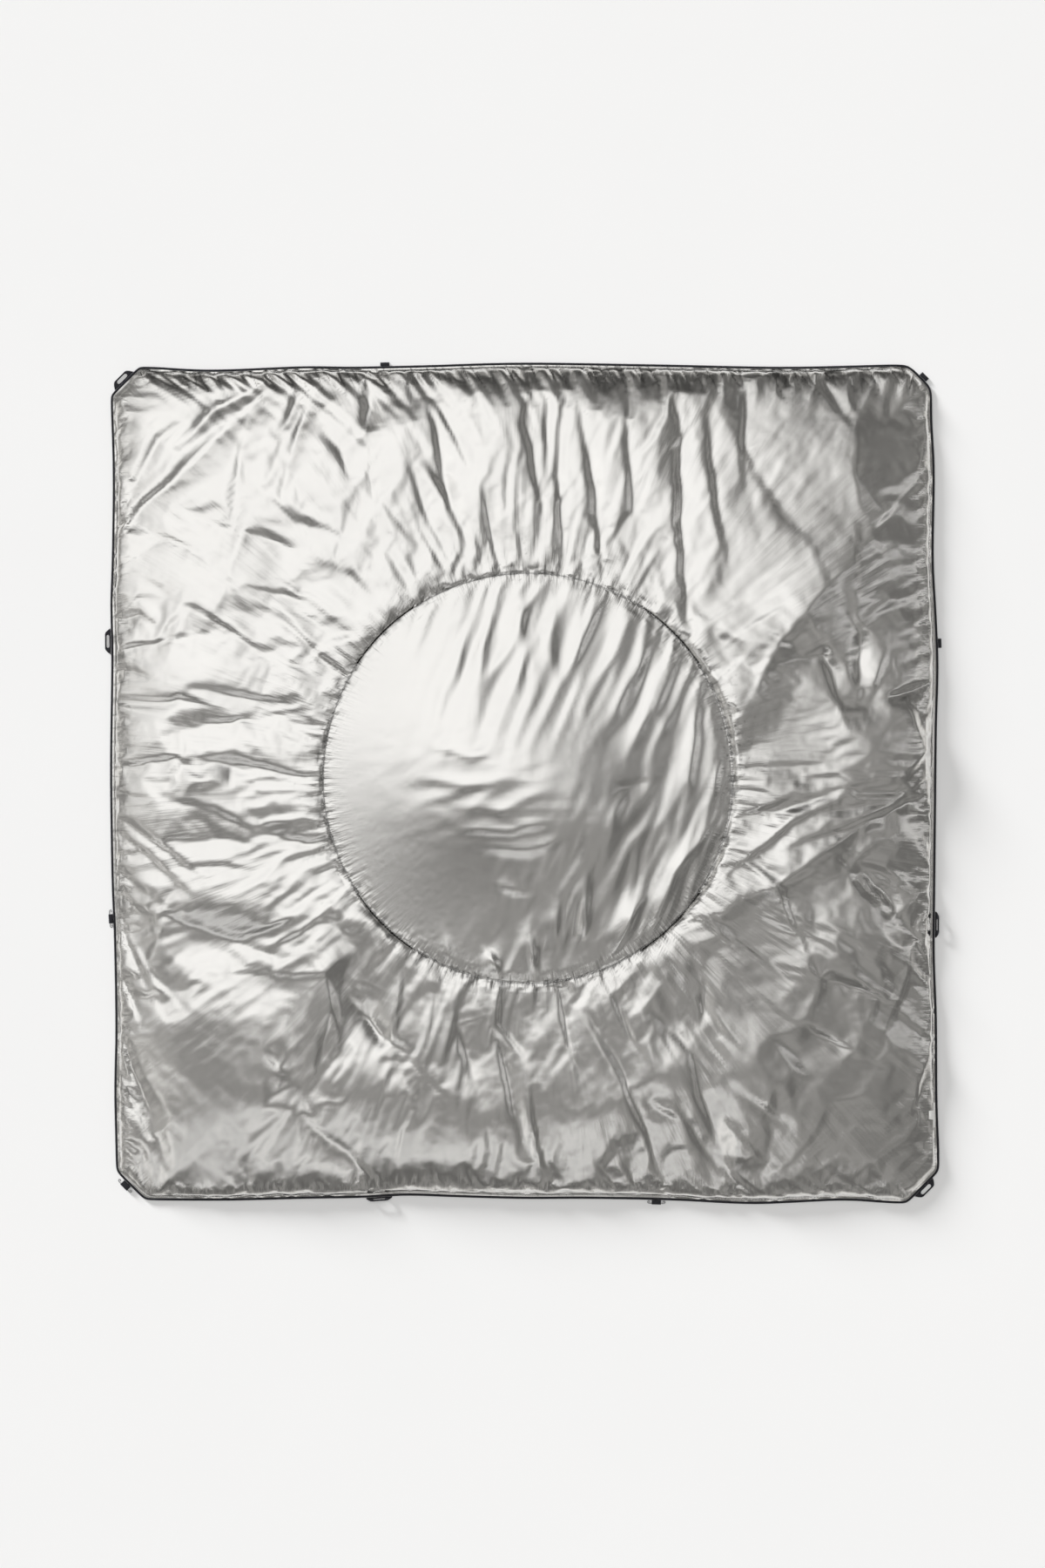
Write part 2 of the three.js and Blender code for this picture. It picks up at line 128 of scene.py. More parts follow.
# A loop or tab whose middle is farther out than this along an axis points that way
OUTWARD_FROM = 0.6

# Main folds of the field and of the disc, in millimetres: half width, rise, then points along the fold.
# A furrow's rise is below zero.
FIELD_FOLDS = [
    (24, -8.6, (-650, 453), (-561, 537), (-483, 614)),
    (18, -6.5, (-595, 555), (-523, 627), (-419, 684)),
    (15, -5.4, (-657, 494), (-616, 577), (-573, 611)),
    (16, -5.8, (-494, 419), (-469, 577)),
    (15, -5.4, (-404, 589), (-373, 678)),
    (15, -5.4, (-388, 558), (-360, 650)),
    (18, -6.5, (-351, 616), (-313, 565), (-285, 503)),
    (18, -4.5, (-505, 340), (-428, 318), (-332, 296)),
    (15, -3.8, (-638, 430), (-557, 392)),
    (10, -3.6, (-200, 691), (-181, 627)),
    (12, -4.3, (-175, 678), (-150, 611), (-135, 537), (-125, 481), (-88, 383)),
    (11, -4, (-147, 647), (-88, 531)),
    (14, -5, (-264, 655), (-259, 596)),
    (9, -3.2, (-259, 525), (-248, 467)),
    (11, -4, (-189, 531), (-166, 467), (-126, 380)),
    (10, -3.6, (-172, 436), (-122, 340)),
    (11, -4, (-67, 500), (-45, 365)),
    (12, -4.3, (3, 627), (22, 487)),
    (11, -4, (37, 650), (38, 515)),
    (15, -5.4, (65, 627), (56, 515), (68, 361)),
    (15, -5.4, (100, 621), (122, 481), (137, 346)),
    (13, -4.7, (178, 608), (178, 453), (143, 396)),
    (15, -5.4, (260, 621), (269, 340)),
    (13, -4.7, (307, 621), (337, 411)),
    (12, -4.3, (372, 650), (372, 509)),
    (35, 8, (556, 620), (560, 450)),
    (45, 15, (575, 410), (434, 246), (345, 85)),
    (10, -3.6, (493, 691), (535, 627)),
    (22, -5.5, (-689, 136), (-579, 139), (-489, 114)),
    (21, -5.2, (-567, 162), (-505, 150), (-370, 125)),
    (21, -5.2, (-533, 95), (-444, 111)),
    (15, -3.8, (-686, 30), (-579, 43), (-554, 27)),
    (18, -4.5, (-567, 46), (-483, 33), (-357, 3)),
    (27, 6.8, (-573, 6), (-489, 6)),
    (27, -6, (-607, -30), (-511, -52), (-455, -80), (-314, -120)),
    (15, -3.8, (-604, -95), (-466, -95)),
    (16, -4, (-689, -52), (-579, -126)),
    (15, -3.8, (-680, 271), (-647, 283), (-610, 258)),
    (15, -3.8, (-672, 228), (-576, 243)),
    (15, -3.8, (-689, -77), (-591, -158)),
    (15, -3.8, (-689, -142), (-622, -185)),
    (15, -3.8, (-689, -173), (-638, -220)),
    (16, -4, (-686, -232), (-625, -349)),
    (40, -7, (-601, -226), (-483, -271), (-342, -318)),
    (21, 5.2, (-413, -318), (-335, -318), (-281, -280)),
    (21, 5.2, (-335, -318), (-317, -413)),
    (15, -3.8, (-591, -142), (-475, -139)),
    (12, -4.3, (463, 212), (519, 217)),
    (12, -4.3, (568, 255), (568, 173)),
    (9, -3.2, (609, 162), (626, 148), (665, 162)),
    (20, 6, (638, 142), (675, 49)),
    (12, -4.3, (406, -52), (531, -13)),
    (12, -4.3, (553, -19), (651, -10)),
    (11, -4, (525, -41), (626, -32)),
    (34, 11, (626, -32), (540, -90), (425, -172), (322, -217)),
    (18, -6.5, (562, -161), (618, -226)),
    (12, 4.3, (688, -433), (665, -529)),
    (14, -5, (-45, -405), (-31, -495), (11, -615)),
    (14, 5, (5, -514), (34, -664)),
    (14, -5, (106, -383), (174, -495), (232, -658)),
    (22, -3.5, (-319, -602), (-256, -661), (-203, -692)),
    (10, -3.6, (122, -630), (162, -686)),
    (10, -3.6, (165, -633), (199, -698)),
    (26, 6, (322, -618), (410, -633)),
    (28, -5, (388, 536), (468, 417)),
    (14, -5, (503, 227), (528, 148)),
    (14, -5, (562, 256), (562, 167)),
    (12, 4, (582, 148), (607, 227)),
    (12, -4.3, (622, 148), (687, 167)),
    (14, 5, (647, 18), (691, 67)),
    (13, -4.7, (353, -61), (462, -22)),
    (13, 4.7, (374, -130), (453, -61), (522, -30)),
    (12, -4.3, (453, -110), (562, -70), (681, -22)),
    (10, -3.6, (443, -191), (462, -241)),
    (32, -8, (562, -130), (632, -220)),
    (12, 4.3, (612, -410), (657, -289)),
    (22, -7, (503, -330), (593, -360)),
    (18, -6.5, (472, -410), (551, -449)),
    (15, -5.4, (432, -429), (478, -489)),
    (8, -2.9, (303, -339), (303, -410)),
    (12, 4, (332, -558), (382, -618)),
    (12, 4, (374, -518), (432, -558)),
    (14, -5, (263, -539), (332, -662)),
    (12, 4.3, (-42, -339), (-48, -407), (-6, -457)),
    (18, -6.5, (278, -426), (307, -530), (346, -662)),
    (30, -7, (207, -368), (278, -442)),
    (9, 3.2, (216, -530), (272, -561)),
    (22, -6, (-110, -401), (-85, -499)),
    (24, -7, (-281, -339), (-229, -442)),
    (26, -9, (-300, -358), (-200, -457)),
    (22, -5, (-348, -532), (-336, -433), (-317, -371)),
    (14, -5, (-398, -495), (-429, -445)),
    (12, -4.3, (-682, -408), (-620, -593)),
    (12, -4.3, (-669, -507), (-626, -593)),
    (12, -3, (-682, -310), (-644, -408)),
    (12, -3, (-669, -248), (-607, -335)),
    (12, 4, (-207, -339), (-222, -471)),
    (10, -3.6, (58, -339), (80, -442)),
    (10, -3.6, (131, -324), (190, -442)),
    (24, -4, (-435, 483), (-385, 440), (-311, 415)),
    (36, -7, (-472, 421), (-373, 384)),
    (14, -4, (-261, 680), (-250, 606)),
    (14, -4, (-163, 544), (-114, 471)),
    (16, -4, (-238, 483), (-182, 409)),
    (12, -3, (-632, 471), (-533, 409)),
    (20, -5, (-558, 297), (-447, 224)),
    (20, -5, (-422, 286), (-336, 211), (-311, 187)),
    (16, -4, (-385, 334), (-298, 286)),
    (16, -4, (-694, 199), (-607, 174)),
    (18, -4.5, (-545, 39), (-447, 14)),
]
DISC_FOLDS = [
    (14, 4, (-9, 328), (2, 239), (-3, 145)),
    (12, 3, (55, 311), (46, 227), (58, 161)),
    (14, 4, (138, 311), (72, 180)),
    (13, 4, (185, 280), (102, 127)),
    (13, 4, (227, 262), (144, 96)),
    (14, 4, (268, 215), (168, 37)),
    (12, 3, (262, 145), (203, 26)),
    (12, 5, (296, 145), (285, 61), (274, -16)),
    (10, 3, (328, 37), (322, -27)),
    (8, 2.5, (-153, 61), (-88, 43), (-39, 52)),
    (8, 2, (-141, 2), (-57, -4), (13, 26)),
    (9, 2.5, (-117, -33), (-34, -45), (37, -10)),
    (9, 2.5, (-106, -74), (-22, -86), (49, -57)),
    (10, 2.5, (-70, -111), (13, -117), (72, -92)),
    (9, -3, (156, -10), (215, 2)),
    (10, 3, (168, -27), (144, -92)),
    (13, 8, (310, -82), (256, -152), (227, -235)),
    (12, 7, (203, -188), (156, -282)),
    (11, 7, (109, -164), (102, -258)),
    (9, 4, (55, -211), (60, -282)),
    (9, 5, (13, -258), (22, -318)),
    (9, 5, (-63, -282), (-44, -318)),
    (8, 2, (-129, -258), (-117, -313)),
    (9, 2, (-45, -170), (2, -182)),
    (10, 2, (-100, 250), (-117, 133)),
    (10, 2.5, (-59, 274), (-76, 109)),
]

# Broad swells of the fill, in millimetres: radius, rise, then the middle
DISC_SWELLS = [
    (230, 19, (-70, 25)),
    (150, 13, (100, -25)),
]
FIELD_SWELLS = [
    (130, 8, (350, -470)),
    (140, 6, (-450, -470)),
]

# How the edge is gathered: strength, reach in millimetres and lean at the right, top, left and bottom side
GATHERS = np.array([
    (0.25, 14, 0.0),
    (1.2, 26, 0.5),
    (0.7, 24, 0.0),
    (0.45, 20, 0.6),
])
LEFT_SIDE = 2

# The softbox fades from its bright middle to its rim, in metres: left, right, near and far side
SOFTBOX_RIM = np.array((-3.6, 0.85, -0.4, 2.3))
SOFTBOX_MIDDLE = np.array((-1.5, -0.15, 0.05, 1.4))
SOFTBOX_STEPS = 8
SOFTBOX_HEIGHT = 2.5

# Panels beside it: place, target, width, length and share of its brightness
SIDE_PANELS = {
    "low_softbox": ((-1.1, -1.55, 2.5), (-1.1, -1.55, 0), 3.0, 0.8, 0.6),
    "strip": ((2.5, 0.1, 2.2), (0.4, 0, 0), 0.4, 2.4, 0.65),
}

# Lights that the silver doesn't reflect: place, strength and spread in degrees
FLOOR_LIGHTS = {
    "fill": ((0, 0, 5), 1.15, 60),
    "low_sun": ((-2.0, 2.0, 0.6), 5.6, 13),
}

# Where the camera hangs in x and y, and half the floor's width
CAMERA_PLACE = (-1.26 * MM, -0.94 * MM)
FLOOR_HALF = 6.0


def length_of(name, description, default):
    """A length that a user may change."""
    return bpy.props.FloatProperty(name=name, description=description, default=default, unit="LENGTH")


def share_of(name, description, default):
    """A share, mostly from 0 to 1, that a user may change."""
    return bpy.props.FloatProperty(name=name, description=description, default=default, subtype="FACTOR")


def colour_of(name, description, default):
    """A colour that a user may change."""
    return bpy.props.FloatVectorProperty(name=name, description=description, default=default, subtype="COLOR")


class ClothSettings(bpy.types.PropertyGroup):
    """Sizes and looks of the filled cloth body"""

    crown_height: length_of(
        "Crown height",
        "Height of the filled field, half way from the sewn circle to the edge",
        34 * MM,
    )
    disc_height: length_of("Disc height", "Height of the filled middle inside the sewn circle", 27 * MM)
    seam_height: length_of("Seam height", "Height of the face where the circle is sewn down", 25 * MM)
    seam_radius: length_of("Seam radius", "Radius of the sewn circle", 345 * MM)
    seam_centre: bpy.props.FloatVectorProperty(
        name="Seam centre",
        description="Middle of the sewn circle",
        default=(7.9 * MM, 8.8 * MM),
        size=2,
        unit="LENGTH",
    )
    seam_strip: length_of("Edge strip", "Width of the flat sewn strip along the piping", 4 * MM)
    slack: share_of("Slack", "Share by which the cloth is cut larger than the fill", 0.0085)
    tight_slack: share_of(
        "Tight slack",
        "The same share on the disc, at the upper right and along the bottom",
        0.004,
    )
    gathered_in: length_of(
        "Gathered in",
        "How far the field's cloth is drawn in towards the sewn circle",
        14 * MM,
    )
    corner_slack: length_of("Corner slack", "Extra cloth along the diagonals, near the corners", 12 * MM)
    disc_slack: share_of("Disc slack", "Share by which the disc's cloth is cut larger than the fill", 0.0)
    fill_hold: share_of("Fill hold", "How firmly the fill holds the cloth up, from 0 to 1", 0.03)
    disc_hold: share_of("Disc hold", "How firmly the fill holds up the cloth of the disc, from 0 to 1", 0.3)
    cells: bpy.props.IntProperty(name="Cells", description="Cloth cells along one edge", default=296)
    disc_cells: bpy.props.IntProperty(
        name="Disc cells",
        description="Cloth cells along a quarter of the sewn circle",
        default=120,
    )
    steps: bpy.props.IntProperty(name="Steps", description="Steps of the cloth simulation", default=14)
    colour: colour_of("Silver", "Colour of the metallised cloth", (0.80, 0.79, 0.77))
    roughness: share_of("Roughness", "How far the silver blurs what it reflects", 0.14)


class TrimSettings(bpy.types.PropertyGroup):
    """Sizes and looks of the piping, webbing, wire, tape and thread"""

    rounding: length_of("Rounding", "Rounding of the webbing's edges", 0.35 * MM)
    stitch: length_of("Stitch", "Length of one stitch", 4 * MM)
    stitch_gap: length_of("Stitch gap", "Gap from one stitch to the next", 1.2 * MM)
    thread: length_of("Thread", "Thickness of the sewing thread", 0.7 * MM)
    webbing_colour: colour_of("Webbing", "Colour of the piping, loops and tabs", (0.014, 0.014, 0.015))
    wire_colour: colour_of("Wire", "Colour of the toggles' wire", (0.50, 0.50, 0.51))
    tape_colour: colour_of("Tape", "Colour of the label's tape", (0.88, 0.88, 0.86))
    thread_colour: colour_of("Thread colour", "Colour of the sewing thread", (0.36, 0.36, 0.35))


class StageSettings(bpy.types.PropertyGroup):
    """The camera, the lights and the floor"""

    camera_height: length_of("Camera height", "Height of the camera above the floor", 8.0)
    view_length: length_of("View length", "Length of floor that the picture's long side takes in", 2.646)
    softbox: bpy.props.FloatProperty(
        name="Softbox",
        description="Brightness of the softbox's middle",
        default=0.87,
    )
    room: bpy.props.FloatProperty(name="Room", description="Brightness of the grey room", default=0.23)
    floor_colour: colour_of("Floor", "Colour of the floor", (0.9, 0.9, 0.9))


class Value:
    """A shader socket. Arithmetic on it adds Math nodes."""

    def __init__(self, shader, socket):
        self.shader = shader
        self.socket = socket

    def maths(self, operation, *inputs):
        return self.shader.node("ShaderNodeMath", {"operation": operation}, dict(enumerate(inputs)))

    def __add__(self, other):
        return self.maths("ADD", self, other)

    def __radd__(self, other):
        return self.maths("ADD", other, self)

    def __sub__(self, other):
        return self.maths("SUBTRACT", self, other)

    def __rsub__(self, other):
        return self.maths("SUBTRACT", other, self)

    def __mul__(self, other):
        return self.maths("MULTIPLY", self, other)

    def __rmul__(self, other):
        return self.maths("MULTIPLY", other, self)

    def __truediv__(self, other):
        return self.maths("DIVIDE", self, other)

    def __rtruediv__(self, other):
        return self.maths("DIVIDE", other, self)

    def __pow__(self, other):
        return self.maths("POWER", self, other)

    def __abs__(self):
        return self.maths("ABSOLUTE", self)

    def waves(self, pitch):
        """From -1 to 1 and back over each pitch, in metres."""
        return self.maths("SINE", self * (2 * math.pi / pitch))

    def fading(self, reach):
        """1 at zero, falling off over the reach."""
        return self.maths("EXPONENT", self * (-1 / reach))

    def between(self, low, high):
        """0 below the low value, 1 above the high one, smooth between them."""
        return self.shader.node(
            "ShaderNodeMapRange",
            {"interpolation_type": "SMOOTHSTEP"},
            {"Value": self, "From Min": low, "From Max": high},
        )


class Shader:
    """Builds the nodes of a material or of the world."""

    def __init__(self, owner):
        owner.use_nodes = True
        self.tree = owner.node_tree
        self.tree.nodes.clear()

    def node(self, kind, settings=None, inputs=None, output=0):
        """Adds a node, sets it up, feeds its sockets and returns one of its outputs."""
        made = self.tree.nodes.new(kind)
        for name, setting in (settings or {}).items():
            setattr(made, name, setting)
        for key, given in (inputs or {}).items():
            if isinstance(given, Value):
                self.tree.links.new(given.socket, made.inputs[key])
            elif hasattr(given, "__len__") and made.inputs[key].type == "RGBA":
                made.inputs[key].default_value = (*given[:3], 1.0)
            else:
                made.inputs[key].default_value = given
        return Value(self, made.outputs[output]) if made.outputs else None

    def place(self):
        """The piece's own coordinates in metres, as one vector and as x, y and z."""
        where = self.node("ShaderNodeTexCoord", output="Object")
        parts = [self.node("ShaderNodeSeparateXYZ", inputs={0: where}, output=k) for k in range(3)]
        return where, *parts

    def vector(self, x, y, z):
        return self.node("ShaderNodeCombineXYZ", inputs={0: x, 1: y, 2: z})

    def clouds(self, where, scale, detail=2.0):
        """Smooth noise from 0 to 1."""
        return self.node(
            "ShaderNodeTexNoise",
            inputs={"Vector": where, "Scale": scale, "Detail": detail},
            output="Fac",
        )

    def blend(self, share, one, other):
        """A colour between two others."""
        return self.node(
            "ShaderNodeMix",
            {"data_type": "RGBA"},
            {0: share, 6: one, 7: other},
            2,
        )

    def surface(self, colour, roughness, height, **fixed):
        """Closes a material: colour, roughness, relief in metres, and sockets that stay the same all over."""
        normal = self.node("ShaderNodeBump", inputs={"Distance": 1.0, "Height": height})
        sockets = {"Base Color": colour, "Roughness": roughness, "Normal": normal}
        sockets.update({name.replace("_", " "): given for name, given in fixed.items()})
        closed = self.node("ShaderNodeBsdfPrincipled", inputs=sockets)
        self.node("ShaderNodeOutputMaterial", inputs={"Surface": closed})


def silver_cloth_material(cloth):
    """Metallised cloth: fine weave, small creases, and puckers along the sewn circle and the edge, with
    painted shade in the pleats' furrows and along the seam line.
    """
    material = bpy.data.materials.new("silver_cloth")
    shader = Shader(material)
    where, x, y, _ = shader.place()
    from_x = x - cloth.seam_centre[0]
    from_y = y - cloth.seam_centre[1]
    radius = (from_x * from_x + from_y * from_y + 1e-9) ** 0.5
    turn_x = from_x / radius
    turn_y = from_y / radius
    seam_gap = abs(radius - cloth.seam_radius)
    edge_gap = shader.node("ShaderNodeAttribute", {"attribute_name": "edge_gap"}, output="Fac")
    edge_run = shader.node("ShaderNodeAttribute", {"attribute_name": "edge_run"}, output="Fac")

    rays = shader.clouds(shader.vector(turn_x * 60, turn_y * 60, radius * 9), 1.0, 3.0)
    seam_rays = shader.clouds(shader.vector(turn_x * 60, turn_y * 60, seam_gap * 30), 1.0, 2.0)
    edge_rays = shader.clouds(shader.vector(edge_run * 210, edge_gap * 26, 3.7), 1.0, 2.0)
    crinkle = shader.clouds(where, 45.0, 3.0)
    patches = shader.clouds(where, 4.0, 2.0)
    weave = x.waves(1.1 * MM) * y.waves(1.1 * MM)

    outside = radius.between(cloth.seam_radius, cloth.seam_radius + 20 * MM)
    past_strip = edge_gap.between(2 * MM, 7 * MM)
    height = rays * (0.5 * MM) * patches.between(0.35, 0.65) * outside
    height = height + crinkle * (0.12 * MM)
    height = height + seam_rays * (1.4 * MM) * seam_gap.fading(14 * MM)
    height = height + edge_rays * (1.2 * MM) * edge_gap.fading(18 * MM) * past_strip
    height = height + weave * (0.012 * MM)

    tone = shader.clouds(where, 9.0, 3.0)
    plain = shader.blend(tone, cloth.colour, [0.93 * part for part in cloth.colour])
    # Painted shade: the colour darkens where a vertex lies deep in a pleat's furrow, and in a thin line along
    # the sewn circle.
    tuck = shader.node("ShaderNodeAttribute", {"attribute_name": "tuck"}, output="Fac")
    shade = tuck * 0.75 + seam_gap.fading(1.8 * MM) * 0.7
    colour = shader.blend(shade.between(0.0, 1.0), plain, [0.3 * part for part in cloth.colour])
    roughness = cloth.roughness + (crinkle - 0.5) * 0.08
    shader.surface(colour, roughness, height, Metallic=1.0)
    return material


def webbing_material(trim):
    """Black webbing: ribs across it and a finer weave along it, following the piece's own map."""
    material = bpy.data.materials.new("black_webbing")
    shader = Shader(material)
    where, *_ = shader.place()
    weave_map = shader.node("ShaderNodeUVMap", {"uv_map": "weave"})
    along = shader.node("ShaderNodeSeparateXYZ", inputs={0: weave_map}, output=0)
    across = shader.node("ShaderNodeSeparateXYZ", inputs={0: weave_map}, output=1)
    ribs = along.waves(1.2 * MM)
    yarns = across.waves(1.8 * MM)
    fuzz = shader.clouds(where, 900.0, 3.0)
    height = ribs * yarns * (0.07 * MM) + fuzz * (0.06 * MM)
    light = [3.2 * part for part in trim.webbing_colour]
    share = (ribs * yarns * 0.3 + 0.3) * fuzz.between(0.35, 0.75)
    colour = shader.blend(share, trim.webbing_colour, light)
    roughness = 0.62 + fuzz * 0.2
    shader.surface(colour, roughness, height, Metallic=0.0, Sheen_Weight=0.15, Sheen_Roughness=0.4)
    return material


def wire_material(trim):
    """Grey bent wire, drawn and a little dull."""
    material = bpy.data.materials.new("grey_wire")
    shader = Shader(material)
    where, x, y, z = shader.place()
    dull = shader.clouds(where, 350.0, 4.0)
    drawn = shader.clouds(shader.vector(x * 400, y * 400, z * 4000), 1.0, 2.0)
    colour = shader.blend(dull, [0.72 * part for part in trim.wire_colour], trim.wire_colour)
    roughness = 0.26 + dull * 0.22
    height = drawn * (0.02 * MM) + dull * (0.04 * MM)
    shader.surface(colour, roughness, height, Metallic=1.0)
    return material


def tape_material(trim):
    """White woven tape, plain."""
    material = bpy.data.materials.new("white_tape")
    shader = Shader(material)
    where, x, y, _ = shader.place()
    weave = x.waves(0.7 * MM) * y.waves(0.7 * MM)
    soft = shader.clouds(where, 240.0, 3.0)
    colour = shader.blend(soft, [0.86 * part for part in trim.tape_colour], trim.tape_colour)
    roughness = 0.6 + soft * 0.2
    height = weave * (0.03 * MM) + soft * (0.1 * MM)
    shader.surface(colour, roughness, height, Metallic=0.0)
    return material


def thread_material(trim):
    """Grey sewing thread with its twist."""
    material = bpy.data.materials.new("grey_thread")
    shader = Shader(material)
    where, x, y, z = shader.place()
    twist = (x + y + z).waves(0.6 * MM)
    lint = shader.clouds(where, 600.0, 2.0)
    colour = shader.blend(lint, [0.7 * part for part in trim.thread_colour], trim.thread_colour)
    roughness = 0.4 + lint * 0.2
    shader.surface(colour, roughness, twist * (0.03 * MM), Metallic=0.0)
    return material


def floor_material(stage):
    """Plain pale floor."""
    material = bpy.data.materials.new("pale_floor")
    shader = Shader(material)
    where, *_ = shader.place()
    mottle = shader.clouds(where, 3.0, 2.0)
    colour = shader.blend(mottle, [0.985 * part for part in stage.floor_colour], stage.floor_colour)
    roughness = 0.75 + mottle * 0.1
    shader.surface(colour, roughness, mottle * (0.1 * MM), Metallic=0.0, Specular_IOR_Level=0.0)
    return material


def finish_piece(piece, slot, *nodes):
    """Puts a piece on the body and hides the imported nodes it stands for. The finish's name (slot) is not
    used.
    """
    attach(piece, BODY)
    if nodes:
        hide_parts(*nodes)


def new_piece(name, bm, material):
    """An object made from a bmesh, smooth shaded, with one material."""
    mesh = bpy.data.meshes.new(name)
    bm.to_mesh(mesh)
    bm.free()
    mesh.shade_smooth()
    mesh.materials.append(material)
    piece = bpy.data.objects.new(name, mesh)
    bpy.context.scene.collection.objects.link(piece)
    return piece


def merged_copy(node, whole_faces=True):
    """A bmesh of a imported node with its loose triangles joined, and its flat faces made whole."""
    bm = bmesh.new()
    bm.from_mesh(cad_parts[node].data)
    bmesh.ops.remove_doubles(bm, verts=bm.verts, dist=0.002 * MM)
    if whole_faces:
        bmesh.ops.dissolve_limit(bm, angle_limit=math.radians(0.5), verts=bm.verts, edges=bm.edges)
    return bm


def positions(mesh):
    """The mesh's vertices as rows of x, y and z."""
    flat = np.empty(len(mesh.vertices) * 3)
    mesh.vertices.foreach_get("co", flat)
    return flat.reshape(-1, 3)


class Outline:
    """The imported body's edge, as a closed line from its bottom right corner anticlockwise."""

    def __init__(self):
        points = positions(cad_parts["blanket"].data)
        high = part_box("blanket")[1]
        at_edge = np.abs(points[:, 2] - EDGE_HIGH) < 0.02 * MM
        outer = np.maximum(np.abs(points[:, 0]) / high.x, np.abs(points[:, 1]) / high.y) > 0.9
        ring = np.unique(np.round(points[at_edge & outer][:, :2], 6), axis=0)
        if len(ring) < 100:
            raise RuntimeError("the packed blanket's edge was not found")
        ring = ring[np.argsort(np.arctan2(ring[:, 1], ring[:, 0]))]
        ring = np.roll(ring, -int(np.argmax(ring[:, 0] - ring[:, 1])), axis=0)
        ring = np.vstack((ring, ring[:1]))
        self.ring = ring
        self.runs = np.concatenate(([0.0], np.cumsum(np.linalg.norm(np.diff(ring, axis=0), axis=1))))
        self.length = self.runs[-1]
        x, y = ring.T
        others = [np.argmax(x + y), np.argmax(y - x), np.argmin(x + y)]
        self.corners = np.array([0.0, *(self.runs[int(k)] for k in others), self.length])

    def run_at(self, square):
        """How far along the edge the points of a unit square's rim fall."""
        u, v = square[:, 0], square[:, 1]
        side = np.where(np.abs(u) >= np.abs(v), np.where(u > 0, 0, 2), np.where(v > 0, 1, 3))
        share = np.choose(side, [(v + 1) / 2, (1 - u) / 2, (1 - v) / 2, (u + 1) / 2])
        return self.corners[side] + share * (self.corners[side + 1] - self.corners[side])

    def gathers(self, runs, gaps, heights):
        """Strength and reach of the edge's gathers at these places, and where along it each one starts."""
        side = np.clip(np.searchsorted(self.corners, runs, side="right") - 1, 0, 3)
        strength, reach, lean = GATHERS[side].T
        lean = np.where(side == LEFT_SIDE, heights / self.ring[:, 1].max(), lean)
        return strength, reach * MM, runs + gaps * lean

    def point(self, runs):
        """The points at these places along the edge."""
        return np.stack([np.interp(runs, self.runs, self.ring[:, k]) for k in (0, 1)], axis=1)


def smooth_noise(x, y, z):
    """Noise from about -1 to 1 at each point. A fixed z picks one layer of it."""
    return np.array([noise.noise(Vector(p)) for p in zip(x, y, np.broadcast_to(z, x.shape))])


def smooth_step(values, low, high):
    share = np.clip((values - low) / (high - low), 0, 1)
    return share * share * (3 - 2 * share)


def fold_heights(folds, x, y):
    """Height that main folds add at each point: a crest along a line with a steep and a gentle side."""
    total = np.zeros(len(x))
    sway_x = FOLD_SWAY * smooth_noise(x * FOLD_SWAYS, y * FOLD_SWAYS, 61.3)
    sway_y = FOLD_SWAY * smooth_noise(x * FOLD_SWAYS, y * FOLD_SWAYS, 77.9)
    x, y = x + sway_x, y + sway_y
    for half_width, rise, *points in folds:
        line = np.array(points) * MM
        lengths = np.linalg.norm(np.diff(line, axis=0), axis=1)
        nearest = np.full(len(x), np.inf)
        along = np.zeros(len(x))
        steep = np.zeros(len(x), dtype=bool)
        done = 0.0
        for start, end, length in zip(line, line[1:], lengths):
            step = end - start
            off_x, off_y = x - start[0], y - start[1]
            share = np.clip((off_x * step[0] + off_y * step[1]) / length ** 2, 0, 1)
            gap = np.hypot(off_x - share * step[0], off_y - share * step[1])
            closer = gap < nearest
            along = np.where(closer, (done + share * length) / lengths.sum(), along)
            on_left = step[0] * off_y - step[1] * off_x > 0
            left_is_steep = (-step[1] - step[0]) * rise > 0
            steep = np.where(closer, on_left == left_is_steep, steep)
            nearest = np.where(closer, gap, nearest)
            done += length
        across = nearest / (half_width * MM) / np.where(steep, STEEP_SIDE, GENTLE_SIDE)
        crest = np.exp(CREST_ROUNDING - np.sqrt(across ** 2 + CREST_ROUNDING ** 2))
        total += rise * MM * crest * np.sin(math.pi * (FOLD_START + FOLD_SPAN * along))
    return total


def swell_heights(swells, x, y):
    """Height that the broad swells of the fill add at each point."""
    total = np.zeros(len(x))
    for radius, rise, (mid_x, mid_y) in swells:
        apart = np.hypot(x - mid_x * MM, y - mid_y * MM) / (radius * MM)
        total += rise * MM * np.exp(-apart ** 2)
    return total


def disc_folds(x, y):
    """Small folds on the disc: leaning ones above and at the right, crumples left of the middle."""
    sway = 0.35 * smooth_noise(x * 11, y * 11, 31.7)
    leaning = 1 - 2.4 * np.abs(smooth_noise((x - 0.36 * y) * 26 + sway, (y + 0.36 * x) * 5, 13.1))
    leaning += 0.5 - 1.2 * np.abs(smooth_noise((x - 0.36 * y) * 55 + sway, (y + 0.36 * x) * 9, 2.6))
    lying = 1 - 2.4 * np.abs(smooth_noise((x + 0.2 * y) * 12, (y - 0.2 * x) * 36 + sway, 6.2))
    upright = smooth_step(np.maximum(y, 0.5 * (x - y) - 0.02), -0.02, 0.14) * smooth_step(x, -0.26, -0.06)
    beside = np.exp(-((x + 0.07) / 0.14) ** 2 - ((y + 0.01) / 0.09) ** 2)
    return leaning * upright + 0.6 * lying * beside


